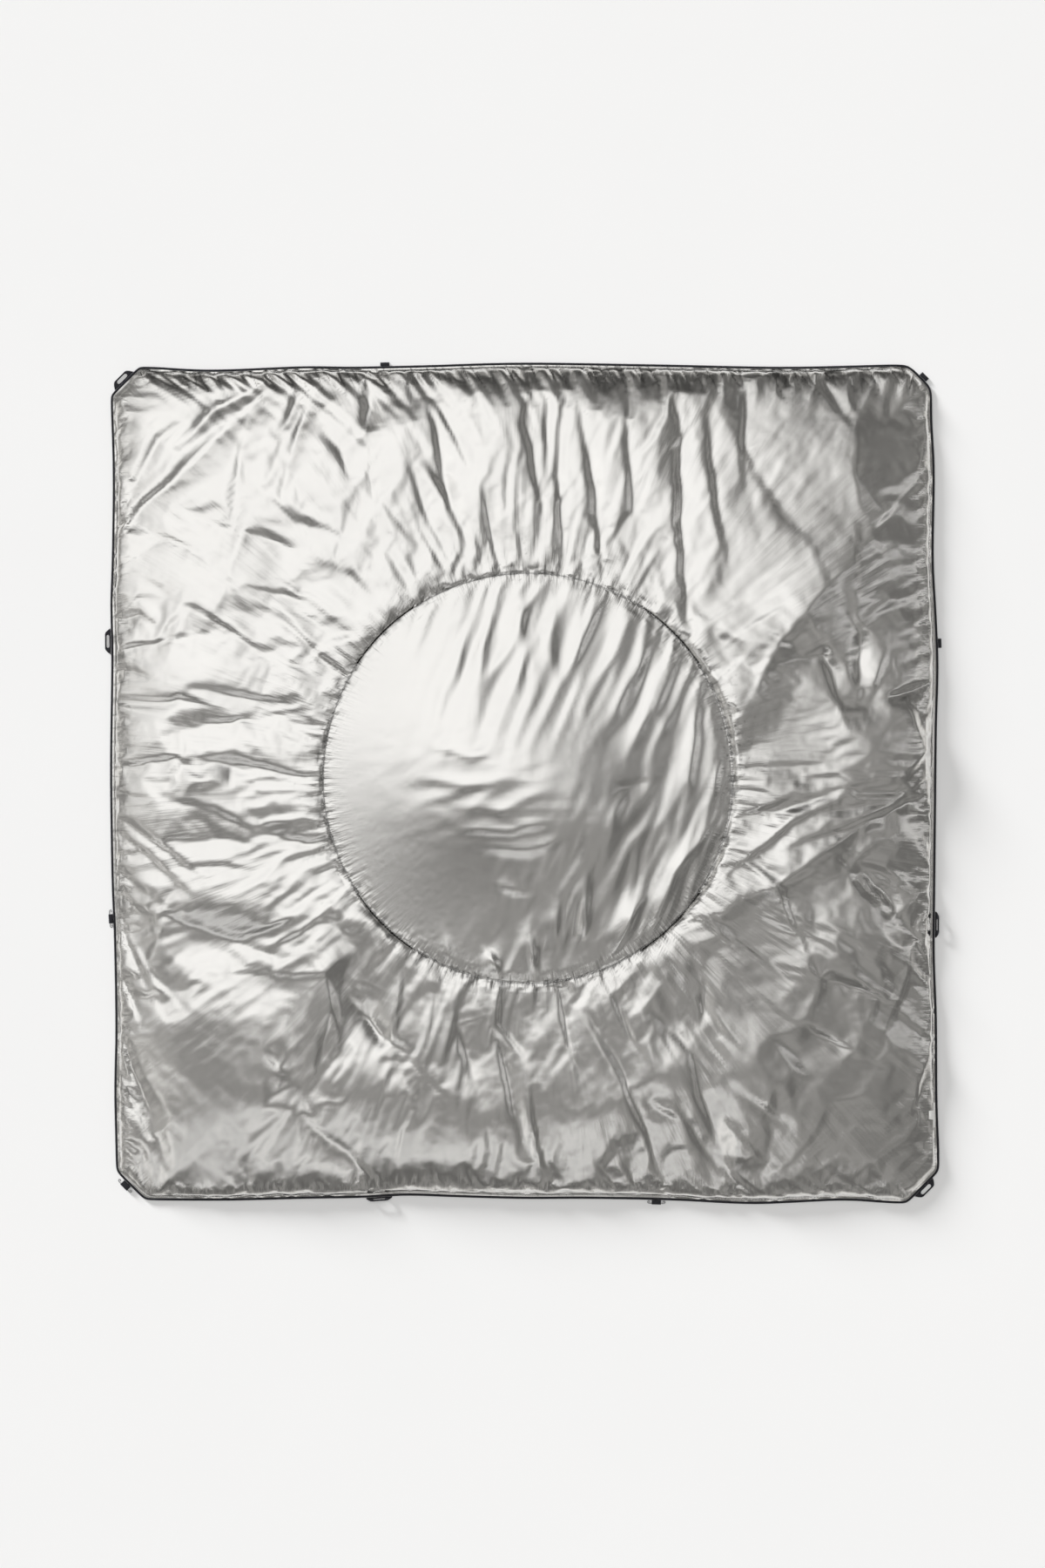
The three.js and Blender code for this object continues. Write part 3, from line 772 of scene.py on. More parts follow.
def disc_heights(cloth, x, y):
    """Height that swells and folds add to the disc, down to nothing at the seam."""
    off_x, off_y = x - cloth.seam_centre[0], y - cloth.seam_centre[1]
    share = np.minimum(np.hypot(off_x, off_y) / cloth.seam_radius, 1)
    clear = np.clip((1 - share) * cloth.seam_radius / DISC_RAMP, 0, 1)
    folds = fold_heights(DISC_FOLDS, x, y) + DISC_FOLD * disc_folds(off_x, off_y)
    return (1 - share ** 2) * swell_heights(DISC_SWELLS, x, y) + clear * folds


def crumpled(x, y, scale, layer):
    """A net of crests, from about -1 to 1, with wavering lines."""
    sway_x = 0.3 * smooth_noise(x * scale * 0.6, y * scale * 0.6, layer + 3.3)
    sway_y = 0.3 * smooth_noise(x * scale * 0.6, y * scale * 0.6, layer + 7.9)
    return 1 - 2.4 * np.abs(smooth_noise(x * scale + sway_x, y * scale + sway_y, layer))


def cut_sheets(cells, disc_cells):
    """Two flat sheets on a square of side 2: the field with a square hole, and the disc that fills it."""
    bm = bmesh.new()
    bmesh.ops.create_grid(bm, x_segments=cells, y_segments=cells, size=1.0)
    hole = disc_cells / cells
    middles = ((face, face.calc_center_median()) for face in bm.faces)
    inside = [face for face, middle in middles if max(abs(middle.x), abs(middle.y)) < hole]
    bmesh.ops.delete(bm, geom=inside, context="FACES")
    in_disc = bm.verts.layers.int.new("in_disc")
    disc = bmesh.ops.create_grid(bm, x_segments=disc_cells, y_segments=disc_cells, size=hole)
    for vert in disc["verts"]:
        vert[in_disc] = 1
    mesh = bpy.data.meshes.new("blanket_cloth")
    bm.to_mesh(mesh)
    bm.free()
    return mesh, hole


def round_off(square):
    """Points of a unit square moved onto the unit disc."""
    u, v = square[:, 0], square[:, 1]
    return np.stack((u * np.sqrt(1 - v * v / 2), v * np.sqrt(1 - u * u / 2)), axis=1)


class ClothPlan:
    """Where each vertex of the cloth starts, how the cloth was cut and which vertices are sewn down."""

    def __init__(self, cloth, outline, mesh, hole):
        square = positions(mesh)[:, :2]
        count = len(square)
        marks = np.empty(count, dtype=np.int32)
        mesh.attributes["in_disc"].data.foreach_get("value", marks)
        self.disc = marks > 0
        self.field = ~self.disc
        self.centre = np.array(cloth.seam_centre)
        self.seam_gap = np.zeros(count)
        self.edge_gap = np.full(count, 1.0)
        self.edge_run = np.zeros(count)
        self.start = np.zeros((count, 3))
        self.lay_disc(cloth, square[self.disc] / hole)
        self.lay_field(cloth, outline, square[self.field], hole)
        self.sewn = (self.seam_gap < 0.05 * MM) | (self.edge_gap < cloth.seam_strip * 0.9)
        off = self.start[:, :2] - self.centre
        self.radius = np.maximum(np.linalg.norm(off, axis=1), 0.001 * MM)
        self.rays = off / self.radius[:, None]
        x, y = self.start[:, 0], self.start[:, 1]
        upper_left = np.where(self.disc, 1, 1 - smooth_step(0.8 * x - 0.55 * y, -0.4, 0.3))
        upper_right = smooth_step(x, 0.28, 0.4) * smooth_step(y, 0.05, 0.2)
        low = 1 - smooth_step(y, -0.5, -0.25)
        self.tight = np.where(self.disc, 1, np.maximum(0.3 * upper_left, np.maximum(upper_right, 0.7 * low)))
        self.calm = np.maximum(upper_left, upper_right)
        clear = np.clip(np.minimum(self.seam_gap / SEAM_RAMP, self.edge_gap / EDGE_RAMP), 0, 1) * self.field
        broad = BROAD_WAVE * smooth_noise(x * 6.5, y * 6.5, 23.4) * (1 - 0.7 * self.calm)
        main = fold_heights(FIELD_FOLDS, x, y) + swell_heights(FIELD_SWELLS, x, y)
        self.start[:, 2] += clear * (main + broad)
        self.cut = self.start.copy()
        self.start[:, 2] += np.where(self.sewn | self.disc, 0, self.uneven(outline))
        self.slacken(cloth)

    def lay_disc(self, cloth, square):
        """The disc, with its cells drawn together towards the seam."""
        reach = np.max(np.abs(square), axis=1, keepdims=True)
        rounded = round_off(square) * (1 + 0.2 * (1 - reach ** 2))
        share = np.linalg.norm(rounded, axis=1)
        gap = np.maximum(0, 1 - share) * cloth.seam_radius
        rise = cloth.disc_height - cloth.seam_height
        crown = 0.18 * (1 - np.exp(-gap / (4 * MM))) + 0.82 * (1 - np.minimum(share, 1) ** 2)
        self.start[self.disc, :2] = self.centre + rounded * cloth.seam_radius
        self.start[self.disc, 2] = cloth.seam_height + rise * crown
        self.seam_gap[self.disc] = gap

    def lay_field(self, cloth, outline, square, hole):
        """The field, with its cells drawn together towards the seam and the edge."""
        reach = np.max(np.abs(square), axis=1)
        rim = square / reach[:, None]
        share = (reach - hole) / (1 - hole)
        share = np.clip(share - 0.2 * np.sin(2 * math.pi * share) / (2 * math.pi), 0, 1)
        seam = self.centre + round_off(rim) * cloth.seam_radius
        runs = outline.run_at(rim)
        edge = outline.point(runs)
        span = np.linalg.norm(edge - seam, axis=1)
        from_seam = share * span
        from_edge = (1 - share) * span
        past_strip = np.maximum(0, from_edge - cloth.seam_strip)
        shoulder = (1 - np.exp(-from_seam / (4 * MM))) * (1 - np.exp(-past_strip / (7 * MM)))
        steep = 0.3 - 0.12 * smooth_step(share, 0.2, 0.7)
        dome = 1 - np.abs(2 * share - 1) ** 2
        base = cloth.seam_height + (EDGE_HIGH - cloth.seam_height) * share
        crown = (steep * shoulder + (1 - steep) * dome) * np.clip(past_strip / (2 * MM), 0, 1)
        self.start[self.field, :2] = seam + (edge - seam) * share[:, None]
        self.start[self.field, 2] = base + (cloth.crown_height - base) * crown
        strip = from_edge < cloth.seam_strip
        self.start[self.field, 2] = np.where(strip, EDGE_HIGH + 0.04 * from_edge, self.start[self.field, 2])
        self.seam_gap[self.field] = from_seam
        self.edge_gap[self.field] = from_edge
        self.edge_run[self.field] = runs

    def slacken(self, cloth):
        """Cuts the cloth larger: drawn in towards the seam, so that it folds along the rays."""
        corner = np.clip((self.radius - 0.70) / 0.28, 0, 1) ** 1.5
        gathered = cloth.gathered_in * (1 + 0.5 * self.streaks(1.6, 0, 8.4))
        less = (cloth.disc_slack - cloth.tight_slack) * self.radius
        more = np.where(self.disc, less, gathered + cloth.corner_slack * corner)
        self.cut[:, :2] += self.rays * more[:, None]

    def streaks(self, fine, coarse, layer):
        """Noise drawn out along the rays."""
        return smooth_noise(self.rays[:, 0] * fine, self.rays[:, 1] * fine, self.radius * coarse + layer)

    def crests(self, fine, coarse, layer):
        """Wavering crests drawn out along the rays."""
        x, y = self.start[:, 0], self.start[:, 1]
        sway = 0.05 * smooth_noise(x * 9, y * 9, layer + 20)
        side = self.rays + np.stack((-self.rays[:, 1], self.rays[:, 0]), axis=1) * sway[:, None]
        net = smooth_noise(side[:, 0] * fine, side[:, 1] * fine, self.radius * coarse + layer)
        return 1 - 2.4 * np.abs(net)

    def uneven(self, outline):
        """The start of the finer folds: along the rays, across the corners and at the gathers."""
        x, y = self.start[:, 0], self.start[:, 1]
        off_x, off_y = np.abs(self.rays * self.radius[:, None]).T
        quarter = np.sign(self.rays[:, 0]) + 3 * np.sign(self.rays[:, 1])
        along_rays = self.crests(13, 5, 3.1) + 0.6 * self.crests(24, 7, 11.7) + 0.5 * self.streaks(46, 7, 4.4)
        across = smooth_noise((off_x + off_y) * 28, (off_x - off_y) * 7, 9.3 + 3 * quarter)
        at_corner = smooth_step(np.minimum(off_x, off_y), 0.33, 0.53)
        patches = np.clip(0.55 + 1.2 * smooth_noise(x * 4.5, y * 4.5, 17.2), 0.1, 1.3)
        blots = smooth_noise(x * 16, y * 16, 5.2)
        fine = patches * (along_rays * (1 - at_corner) + 0.9 * across * at_corner) + 0.6 * blots
        fine *= 1 - 0.4 * self.calm
        crumple = crumpled(x, y, 13, 41.1) + 0.5 * crumpled(x, y, 27, 57.7)
        crumple *= 0.04 + 0.08 * smooth_step(0.8 * x - 0.6 * y, 0.0, 0.5)
        clear = np.clip(np.minimum(self.seam_gap / (12 * MM), self.edge_gap / (12 * MM)), 0, 1)
        folds = clear * (FINE_FOLD * fine + CRUMPLE * crumple)

        strength, reach, run = outline.gathers(self.edge_run, self.edge_gap, y)
        wave = smooth_noise(run * 45, run * 0, 1.7)
        reach = reach * (1.5 + 0.6 * smooth_noise(run * 35, run * 0, 9.3))
        edge = wave * np.exp(-self.edge_gap / reach) * np.clip(self.edge_gap / (8 * MM), 0, 1)
        ring = self.streaks(22, 0, 6.7)
        seam = ring * np.exp(-self.seam_gap / (16 * MM)) * np.clip(self.seam_gap / (6 * MM), 0, 1)
        return folds + EDGE_GATHER * edge * strength + SEAM_GATHER * seam


def simulate(piece, plan, cloth, steps):
    """Lets the cloth settle into its folds and returns where its vertices end up."""
    mesh = piece.data
    mesh.vertices.foreach_set("co", plan.start.ravel())
    piece.shape_key_add(name="laid")
    cut = piece.shape_key_add(name="cut")
    cut.data.foreach_set("co", plan.cut.ravel())
    held = piece.vertex_groups.new(name="held")
    held.add(np.nonzero(plan.sewn)[0].tolist(), 1.0, "REPLACE")
    held.add(np.nonzero(plan.field & ~plan.sewn)[0].tolist(), cloth.fill_hold, "REPLACE")
    held.add(np.nonzero(plan.disc & ~plan.sewn)[0].tolist(), cloth.disc_hold, "REPLACE")
    tight = piece.vertex_groups.new(name="tight")
    for k, weight in enumerate(plan.tight.tolist()):
        tight.add([k], weight, "REPLACE")
    modifier = piece.modifiers.new("settle", "CLOTH")
    settings = modifier.settings
    settings.quality = 5
    settings.mass = 0.05
    settings.air_damping = 1.0
    settings.tension_stiffness = 15
    settings.compression_stiffness = 15
    settings.shear_stiffness = 5
    settings.bending_stiffness = 0.25
    settings.vertex_group_mass = held.name
    settings.pin_stiffness = 1.0
    settings.rest_shape_key = cut
    settings.vertex_group_shrink = tight.name
    settings.shrink_min = -cloth.slack
    settings.shrink_max = -cloth.tight_slack
    settings.effector_weights.gravity = 0
    modifier.collision_settings.use_collision = False
    modifier.point_cache.frame_start = 1
    modifier.point_cache.frame_end = steps
    scene = bpy.context.scene
    for step in range(1, steps + 1):
        scene.frame_set(step)
    settled = positions(piece.evaluated_get(bpy.context.evaluated_depsgraph_get()).to_mesh())
    if not np.isfinite(settled).all():
        raise RuntimeError("the cloth did not settle")
    piece.modifiers.clear()
    piece.vertex_groups.clear()
    piece.shape_key_clear()
    scene.frame_set(1)
    return settled


def settle_under_label(settled):
    """Brings the face up to the label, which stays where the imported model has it."""
    bm = bmesh.new()
    bm.from_mesh(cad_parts["blanket"].data)
    packed = BVHTree.FromBMesh(bm)
    bm.free()
    low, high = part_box("label")
    out_x = np.maximum(np.maximum(low.x - settled[:, 0], settled[:, 0] - high.x), 0)
    out_y = np.maximum(np.maximum(low.y - settled[:, 1], settled[:, 1] - high.y), 0)
    share = 1 - smooth_step(np.hypot(out_x, out_y), LABEL_CLEAR, LABEL_REACH)
    for k in np.nonzero(share > 0)[0]:
        x, y, z = settled[k]
        hit = packed.ray_cast(Vector((x, y, 1.0)), Vector((0, 0, -1)))[0]
        if hit is not None:
            settled[k, 2] = z + (hit.z + LABEL_GAP - z) * share[k]


def pleats(net, fade):
    """Heights of round pleats with furrows where the noise crosses zero, and how deep in a furrow, which sets
    the painted shade there.
    """
    away = np.abs(net)
    inside = np.clip(1.5 * (1 - away / (0.13 * fade + 0.01)), 0, 1)
    return (2.4 * away - 0.6) * fade, inside * np.sqrt(fade)


def creases(places, turn):
    """Small sharp creases along the rays, in patches."""
    x, y = places[:, 0], places[:, 1]
    sway = 0.5 * smooth_noise(x * 12, y * 12, 52.6)
    along = np.hypot(x, y) * 9
    fine = 1 - 2.4 * np.abs(smooth_noise(turn[:, 0] * 30 + sway, turn[:, 1] * 30, along))
    fine += 0.5 - 1.2 * np.abs(smooth_noise(turn[:, 0] * 56, turn[:, 1] * 56 + sway, along + 7))
    return fine * np.clip(0.5 + 1.5 * smooth_noise(x * 6, y * 6, 81.4), 0, 1)


def pucker(bm, cloth, outline):
    """Cuts the cells finer along the seam, along the edge and on the disc, and adds the small folds there."""
    gap = bm.verts.layers.float.new("edge_gap")
    run = bm.verts.layers.float.new("edge_run")
    # This attribute holds how deep each vertex lies in a pleat's furrow; the silver's colour darkens by it as
    # painted shade.
    tuck = bm.verts.layers.float.new("tuck")
    marks = np.arange(0, outline.length, 2 * MM)
    tree = KDTree(len(marks))
    for k, (x, y) in enumerate(outline.point(marks)):
        tree.insert((x, y, 0), k)
    tree.balance()
    centre = Vector((*cloth.seam_centre, 0))

    def gaps(vert):
        flat = Vector((vert.co.x, vert.co.y, 0))
        mark, apart = tree.find(flat)[1:]
        return (flat - centre).length - cloth.seam_radius, apart, marks[mark]

    at_seam, at_edge, in_disc, loose = set(), set(), set(), []
    for vert in bm.verts:
        seam_gap, edge_gap, _ = gaps(vert)
        if abs(seam_gap) < SEAM_PUCKER_BAND:
            at_seam.add(vert)
        elif seam_gap < 0:
            in_disc.add(vert)
        if edge_gap < EDGE_PUCKER_BAND:
            at_edge.add(vert)
        if abs(seam_gap) > MM and edge_gap > cloth.seam_strip:
            loose.append(vert)
    bmesh.ops.smooth_vert(bm, verts=loose, factor=0.3, use_axis_x=True, use_axis_y=True, use_axis_z=True)
    for verts, cuts in ((at_edge, 1), (in_disc, 1), (at_seam, 2)):
        edges = [edge for edge in bm.edges if edge.verts[0] in verts and edge.verts[1] in verts]
        bmesh.ops.subdivide_edges(bm, edges=edges, cuts=cuts, use_grid_fill=True)
    verts = list(bm.verts)
    seam_gap, edge_gap, edge_run = np.array([gaps(vert) for vert in verts]).T
    places = np.array([vert.co for vert in verts])
    inside = np.nonzero(seam_gap < 0)[0]
    rise = disc_heights(cloth, places[inside, 0], places[inside, 1])
    for k, height in zip(inside, rise):
        verts[k].co.z += height
    bm.normal_update()
    off = places[:, :2] - np.array(cloth.seam_centre)
    turn = off / np.maximum(np.linalg.norm(off, axis=1, keepdims=True), MM)

    strength, reach, starts = outline.gathers(edge_run, edge_gap, places[:, 1])
    reach = reach * (1 + 0.6 * smooth_noise(edge_run * 30, edge_run * 0, 2.9))
    net = smooth_noise(starts * EDGE_PLEATS, edge_gap * 6, 3.3)
    edge, edge_tucks = pleats(net, np.exp(-edge_gap / reach))
    net = smooth_noise(starts * SHORT_EDGE_PLEATS, edge_gap * 6, 8.8)
    short_edge, short_tucks = pleats(net, np.exp(-edge_gap / (0.35 * reach)))
    tuck_shades = np.maximum(edge_tucks, 0.5 * short_tucks) * strength
    height = MM * strength * (EDGE_PLEAT * edge + SHORT_EDGE_PLEAT * short_edge)
    height *= smooth_step(edge_gap, 0.8 * cloth.seam_strip, 2.5 * cloth.seam_strip)

    outside = seam_gap > 0
    uneven = 20 + 14 * smooth_noise(turn[:, 0] * 14, turn[:, 1] * 14, 5.1)
    reach = uneven * np.where(outside, 1, 0.35) * MM
    seam_gap = np.abs(seam_gap)
    net = smooth_noise(*(turn * RING_PLEATS).T, seam_gap * 8)
    ring, ring_tucks = pleats(net, np.exp(-seam_gap / reach))
    net = smooth_noise(*(turn * SHORT_RING_PLEATS).T, 4.6)
    short_ring, short_tucks = pleats(net, np.exp(-seam_gap / (0.4 * reach)))
    tuck_shades = np.clip(np.maximum(tuck_shades, np.maximum(ring_tucks, 0.7 * short_tucks)), 0, 1)
    past_seam = smooth_step(seam_gap, 0.5 * MM, 6 * MM)
    height += MM * (RING_PLEAT * ring + SHORT_RING_PLEAT * short_ring) * past_seam
    clear = smooth_step(np.minimum(seam_gap, edge_gap), 4 * MM, 25 * MM)
    height += CREASE * creases(places, turn) * clear * outside
    for k, vert in enumerate(verts):
        vert[gap] = edge_gap[k]
        vert[run] = edge_run[k]
        vert[tuck] = tuck_shades[k]
        if abs(height[k]) > 0.01 * MM:
            vert.co += vert.normal * height[k]


def close_underside(bm, outline):
    """Turns the cloth's rim down to the back cloth and closes the flat underside."""
    run = bm.verts.layers.float["edge_run"]

    def turn_in(rim):
        made = bmesh.ops.extrude_edge_only(bm, edges=rim)["geom"]
        verts = [part for part in made if isinstance(part, bmesh.types.BMVert)]
        edges = [part for part in made if isinstance(part, bmesh.types.BMEdge) and part.is_boundary]
        return verts, edges

    rim = [edge for edge in bm.edges if edge.is_boundary]
    for edge in rim:
        edge.smooth = False
    verts, rim = turn_in(rim)
    for vert in verts:
        vert.co.z = EDGE_LOW
    verts, rim = turn_in(rim)
    runs = np.array([vert[run] for vert in verts])
    ahead, behind = (outline.point((runs + step) % outline.length) for step in (5 * MM, -5 * MM))
    tangent = (ahead - behind) / np.linalg.norm(ahead - behind, axis=1, keepdims=True)
    for vert, (along_x, along_y) in zip(verts, tangent):
        vert.co.x -= along_y * UNDERSIDE_INSET
        vert.co.y += along_x * UNDERSIDE_INSET
        vert.co.z = 0.0
    bmesh.ops.contextual_create(bm, geom=rim)


def build_cloth(settings):
    """The filled cloth body."""
    cloth = settings.cloth
    outline = Outline()
    cells, disc_cells, steps = cloth.cells, cloth.disc_cells, cloth.steps
    mesh, hole = cut_sheets(cells, disc_cells)
    piece = bpy.data.objects.new("blanket_cloth", mesh)
    bpy.context.scene.collection.objects.link(piece)
    plan = ClothPlan(cloth, outline, mesh, hole)
    settled = simulate(piece, plan, cloth, steps)
    settle_under_label(settled)
    settled[:, 2] = np.clip(settled[:, 2], EDGE_HIGH * 0.9, CAD_BOX[1].z + CLOTH_PROUD)
    mesh.vertices.foreach_set("co", settled.ravel())
    bm = bmesh.new()
    bm.from_mesh(mesh)
    in_disc = bm.verts.layers.int["in_disc"]
    seam = [vert for vert in bm.verts if vert.is_boundary and abs(vert.co.z - cloth.seam_height) < 0.01 * MM]
    bmesh.ops.remove_doubles(bm, verts=seam, dist=0.02 * MM)
    bm.verts.layers.int.remove(in_disc)
    pucker(bm, cloth, outline)
    close_underside(bm, outline)
    bmesh.ops.recalc_face_normals(bm, faces=bm.faces)
    bm.to_mesh(mesh)
    bm.free()
    mesh.shade_smooth()
    mesh.materials.append(silver_cloth_material(cloth))
    finish_piece(piece, "silver_cloth", "blanket")


def map_weave(bm, along, across):
    """Gives a bmesh a map for the weave from two values of each vertex, in metres."""
    layer = bm.loops.layers.uv.new("weave")
    for vert in bm.verts:
        for loop in vert.link_loops:
            loop[layer].uv = (along(vert.co), across(vert.co))


def outward_axis(node):
    """The direction in which a loop or tab points away from the blanket."""
    low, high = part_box(node)
    middle = (low + high) / 2
    reach_x = abs(middle.x) > OUTWARD_FROM
    reach_y = abs(middle.y) > OUTWARD_FROM
    return Vector((math.copysign(reach_x, middle.x), math.copysign(reach_y, middle.y), 0)).normalized()


def subdivide(piece, levels):
    modifier = piece.modifiers.new("smooth", "SUBSURF")
    modifier.levels = levels
    modifier.render_levels = levels


def smooth_tube(node, fatten):
    """A packed tube with four-sided faces, a little fatter, because subdividing it draws it in."""
    bm = merged_copy(node, whole_faces=False)
    bmesh.ops.join_triangles(
        bm,
        faces=bm.faces,
        angle_face_threshold=math.radians(40),
        angle_shape_threshold=math.radians(180),
    )
    bm.normal_update()
    for vert in bm.verts:
        vert.co += vert.normal * fatten
    return bm


def build_binding(settings):
    """The black piping round the edge."""
    bm = smooth_tube("binding", 0.2 * MM)
    map_weave(bm, lambda place: place.x - place.y, lambda place: place.x + place.y + place.z)
    piece = new_piece("piping", bm, settings.webbing)
    subdivide(piece, 2)
    finish_piece(piece, "black_webbing", "binding")


def round_edges(bm, angle, offset, segments):
    """Rounds the edges whose faces meet at more than this many degrees."""
    sharp = [edge for edge in bm.edges if edge.calc_face_angle(0.0) > math.radians(angle)]
    bmesh.ops.bevel(
        bm,
        geom=sharp,
        offset=offset,
        offset_type="OFFSET",
        segments=segments,
        profile=0.5,
        affect="EDGES",
        clamp_overlap=True,
        material=-1,
    )


def build_webbing(settings):
    """The loops and the folded tabs, with rounded edges."""
    for node in sorted(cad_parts):
        if not node.startswith(("loop_", "tab_")):
            continue
        outward = outward_axis(node)
        sideways = Vector((-outward.y, outward.x, 0))
        bm = merged_copy(node)
        round_edges(bm, 30, settings.trim.rounding, 3)
        map_weave(bm, lambda place: place.dot(sideways), lambda place: place.dot(outward) + place.z)
        piece = new_piece(node + "_webbing", bm, settings.webbing)
        piece.data.set_sharp_from_angle(angle=math.radians(40))
        finish_piece(piece, "black_webbing", node)


def build_toggles(settings):
    """The wire toggles that hang in three of the tabs."""
    material = wire_material(settings.trim)
    for node in sorted(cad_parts):
        if not node.startswith("toggle_"):
            continue
        piece = new_piece(node + "_wire", smooth_tube(node, 0.08 * MM), material)
        subdivide(piece, 2)
        finish_piece(piece, "grey_wire", node)


def build_label(settings):
    """The small white label, sewn in at the edge and folded over the face."""
    bm = merged_copy("label", whole_faces=False)
    round_edges(bm, 60, 0.15 * MM, 2)
    piece = new_piece("label_tape", bm, tape_material(settings.trim))
    piece.data.set_sharp_from_angle(angle=math.radians(40))
    finish_piece(piece, "white_tape", "label")


def sew(name, places, trim, material):
    """A row of stitches: each place is a point on the cloth and the direction of the seam there."""
    bm = bmesh.new()
    lying = Matrix.Diagonal((trim.stitch / 2, trim.thread / 2, trim.thread / 2, 1))
    lying = lying @ Matrix.Rotation(math.pi / 2, 4, "Y")
    bmesh.ops.create_uvsphere(bm, u_segments=6, v_segments=4, radius=1.0, matrix=lying)
    piece = new_piece(name, bm, material)
    one = positions(piece.data)
    row = piece.modifiers.new("row", "ARRAY")
    row.count = len(places)
    row.use_relative_offset = False
    sewn = bpy.data.meshes.new_from_object(piece.evaluated_get(bpy.context.evaluated_depsgraph_get()))
    piece.modifiers.clear()
    piece.data = sewn
    sewn.name = name
    turned = []
    for point, along in places:
        turn = np.array(along.to_track_quat("X", "Z").to_matrix())
        turned.append(one @ turn.T + np.array(point))
    sewn.vertices.foreach_set("co", np.concatenate(turned).ravel())
    sewn.update()
    finish_piece(piece, "silver_cloth")


def build_stitches(settings):
    """The topstitching along the piping and the stitches of the sewn circle."""
    cloth, trim = settings.cloth, settings.trim
    material = thread_material(trim)
    outline = Outline()
    body = bpy.data.objects["blanket_cloth"]
    pitch = trim.stitch + trim.stitch_gap
    face = BVHTree.FromObject(body, bpy.context.evaluated_depsgraph_get())

    def on_cloth(x, y):
        hit = face.ray_cast(Vector((x, y, 1.0)), Vector((0, 0, -1)))[0]
        if hit is None:
            raise RuntimeError("a stitch missed the cloth")
        return hit + Vector((0, 0, STITCH_LIFT * trim.thread))

    count = int(outline.length / pitch)
    runs = np.arange(count) * outline.length / count
    here = outline.point(runs)
    ahead = outline.point((runs + 2 * MM) % outline.length) - here
    ahead /= np.linalg.norm(ahead, axis=1, keepdims=True)
    edge = []
    for (x, y), (along_x, along_y) in zip(here, ahead):
        point = on_cloth(x - along_y * STITCH_INSET, y + along_x * STITCH_INSET)
        edge.append((point, Vector((along_x, along_y, 0))))
    sew("edge_stitches", edge, trim, material)

    count = int(2 * math.pi * cloth.seam_radius / pitch)
    seam_top = cloth.seam_height + STITCH_LIFT * trim.thread
    ring = []
    for k in range(count):
        turn = 2 * math.pi * k / count
        out = Vector((math.cos(turn), math.sin(turn), 0))
        point = Vector((*cloth.seam_centre, seam_top)) + out * cloth.seam_radius
        ring.append((point, Vector((-out.y, out.x, 0))))
    sew("circle_stitches", ring, trim, material)


def add_light(name, kind, place, target, **settings):
    """A light that points from its place to a target."""
    light = bpy.data.lights.new(name, kind)
    seen = {key: settings.pop(key) for key in ("visible_glossy", "visible_diffuse") if key in settings}
    for key, setting in settings.items():
        setattr(light, key, setting)
    lamp = bpy.data.objects.new(name, light)
    bpy.context.scene.collection.objects.link(lamp)
    lamp.location = place
    lamp.rotation_euler = (Vector(target) - Vector(place)).to_track_quat("-Z", "Y").to_euler()
    for key, setting in seen.items():
        setattr(lamp, key, setting)
    return lamp


def add_panel(name, place, target, width, length, brightness):
    """A soft panel that the silver reflects and that leaves the floor alone."""
    add_light(
        name,
        "AREA",
        place,
        target,
        shape="RECTANGLE",
        size=width,
        size_y=length,
        energy=brightness * math.pi * width * length,
        visible_diffuse=False,
    )


def build_stage(settings):
    """The floor, the lights and the camera."""
    stage = settings.stage
    scene = bpy.context.scene
    bm = bmesh.new()
    bmesh.ops.create_grid(bm, x_segments=8, y_segments=8, size=FLOOR_HALF)
    floor = new_piece("floor", bm, floor_material(stage))

    world = bpy.data.worlds.new("grey_room")
    scene.world = world
    shader = Shader(world)
    towards = shader.node("ShaderNodeTexCoord", output="Generated")
    right, far, up = (shader.node("ShaderNodeSeparateXYZ", inputs={0: towards}, output=k) for k in range(3))
    dim = far.between(0.25, 0.9) * 0.6
    glow = (0.0 - right).between(0.2, 0.9) * 0.9
    patches = shader.clouds(towards, 3.5).between(0.35, 0.65)
    horizon = (1 - up).between(0.55, 0.9) * 1.3
    level = (1 - dim + glow + horizon) * stage.room * (0.6 + patches * 0.9)
    warm = shader.vector(level, level * 0.985, level * 0.955)
    lit = shader.node("ShaderNodeBackground", inputs={"Color": warm})
    shader.node("ShaderNodeOutputWorld", inputs={"Surface": lit})

    for k, share in enumerate(np.linspace(0, 1, SOFTBOX_STEPS)):
        left, right, near, far = SOFTBOX_RIM + (SOFTBOX_MIDDLE - SOFTBOX_RIM) * share
        place = ((left + right) / 2, (near + far) / 2, SOFTBOX_HEIGHT - 0.01 * k)
        below = (place[0], place[1], 0)
        add_panel(f"softbox_{k + 1}", place, below, right - left, far - near, stage.softbox / SOFTBOX_STEPS)
    for name, (place, target, width, length, share) in SIDE_PANELS.items():
        add_panel(name, place, target, width, length, stage.softbox * share)
    for name, (place, strength, spread) in FLOOR_LIGHTS.items():
        angle = math.radians(spread)
        add_light(name, "SUN", place, (0, 0, 0), energy=strength, angle=angle, visible_glossy=False)

    camera = bpy.data.cameras.new("camera")
    camera.lens = camera.sensor_width * stage.camera_height / stage.view_length
    eye = bpy.data.objects.new("camera", camera)
    eye.location = (*CAMERA_PLACE, stage.camera_height)
    scene.collection.objects.link(eye)
    scene.camera = eye
    scene.view_settings.view_transform = "Standard"


class BlanketSettings(bpy.types.PropertyGroup):
    """All settings of the blanket"""

    cloth: bpy.props.PointerProperty(type=ClothSettings, name="Cloth", description="The filled cloth body")
    trim: bpy.props.PointerProperty(type=TrimSettings, name="Trim", description="Piping, webbing and thread")
    stage: bpy.props.PointerProperty(type=StageSettings, name="Stage", description="Camera, lights and floor")

    @property
    def webbing(self):
        made = bpy.data.materials.get("black_webbing")
        return made or webbing_material(self.trim)


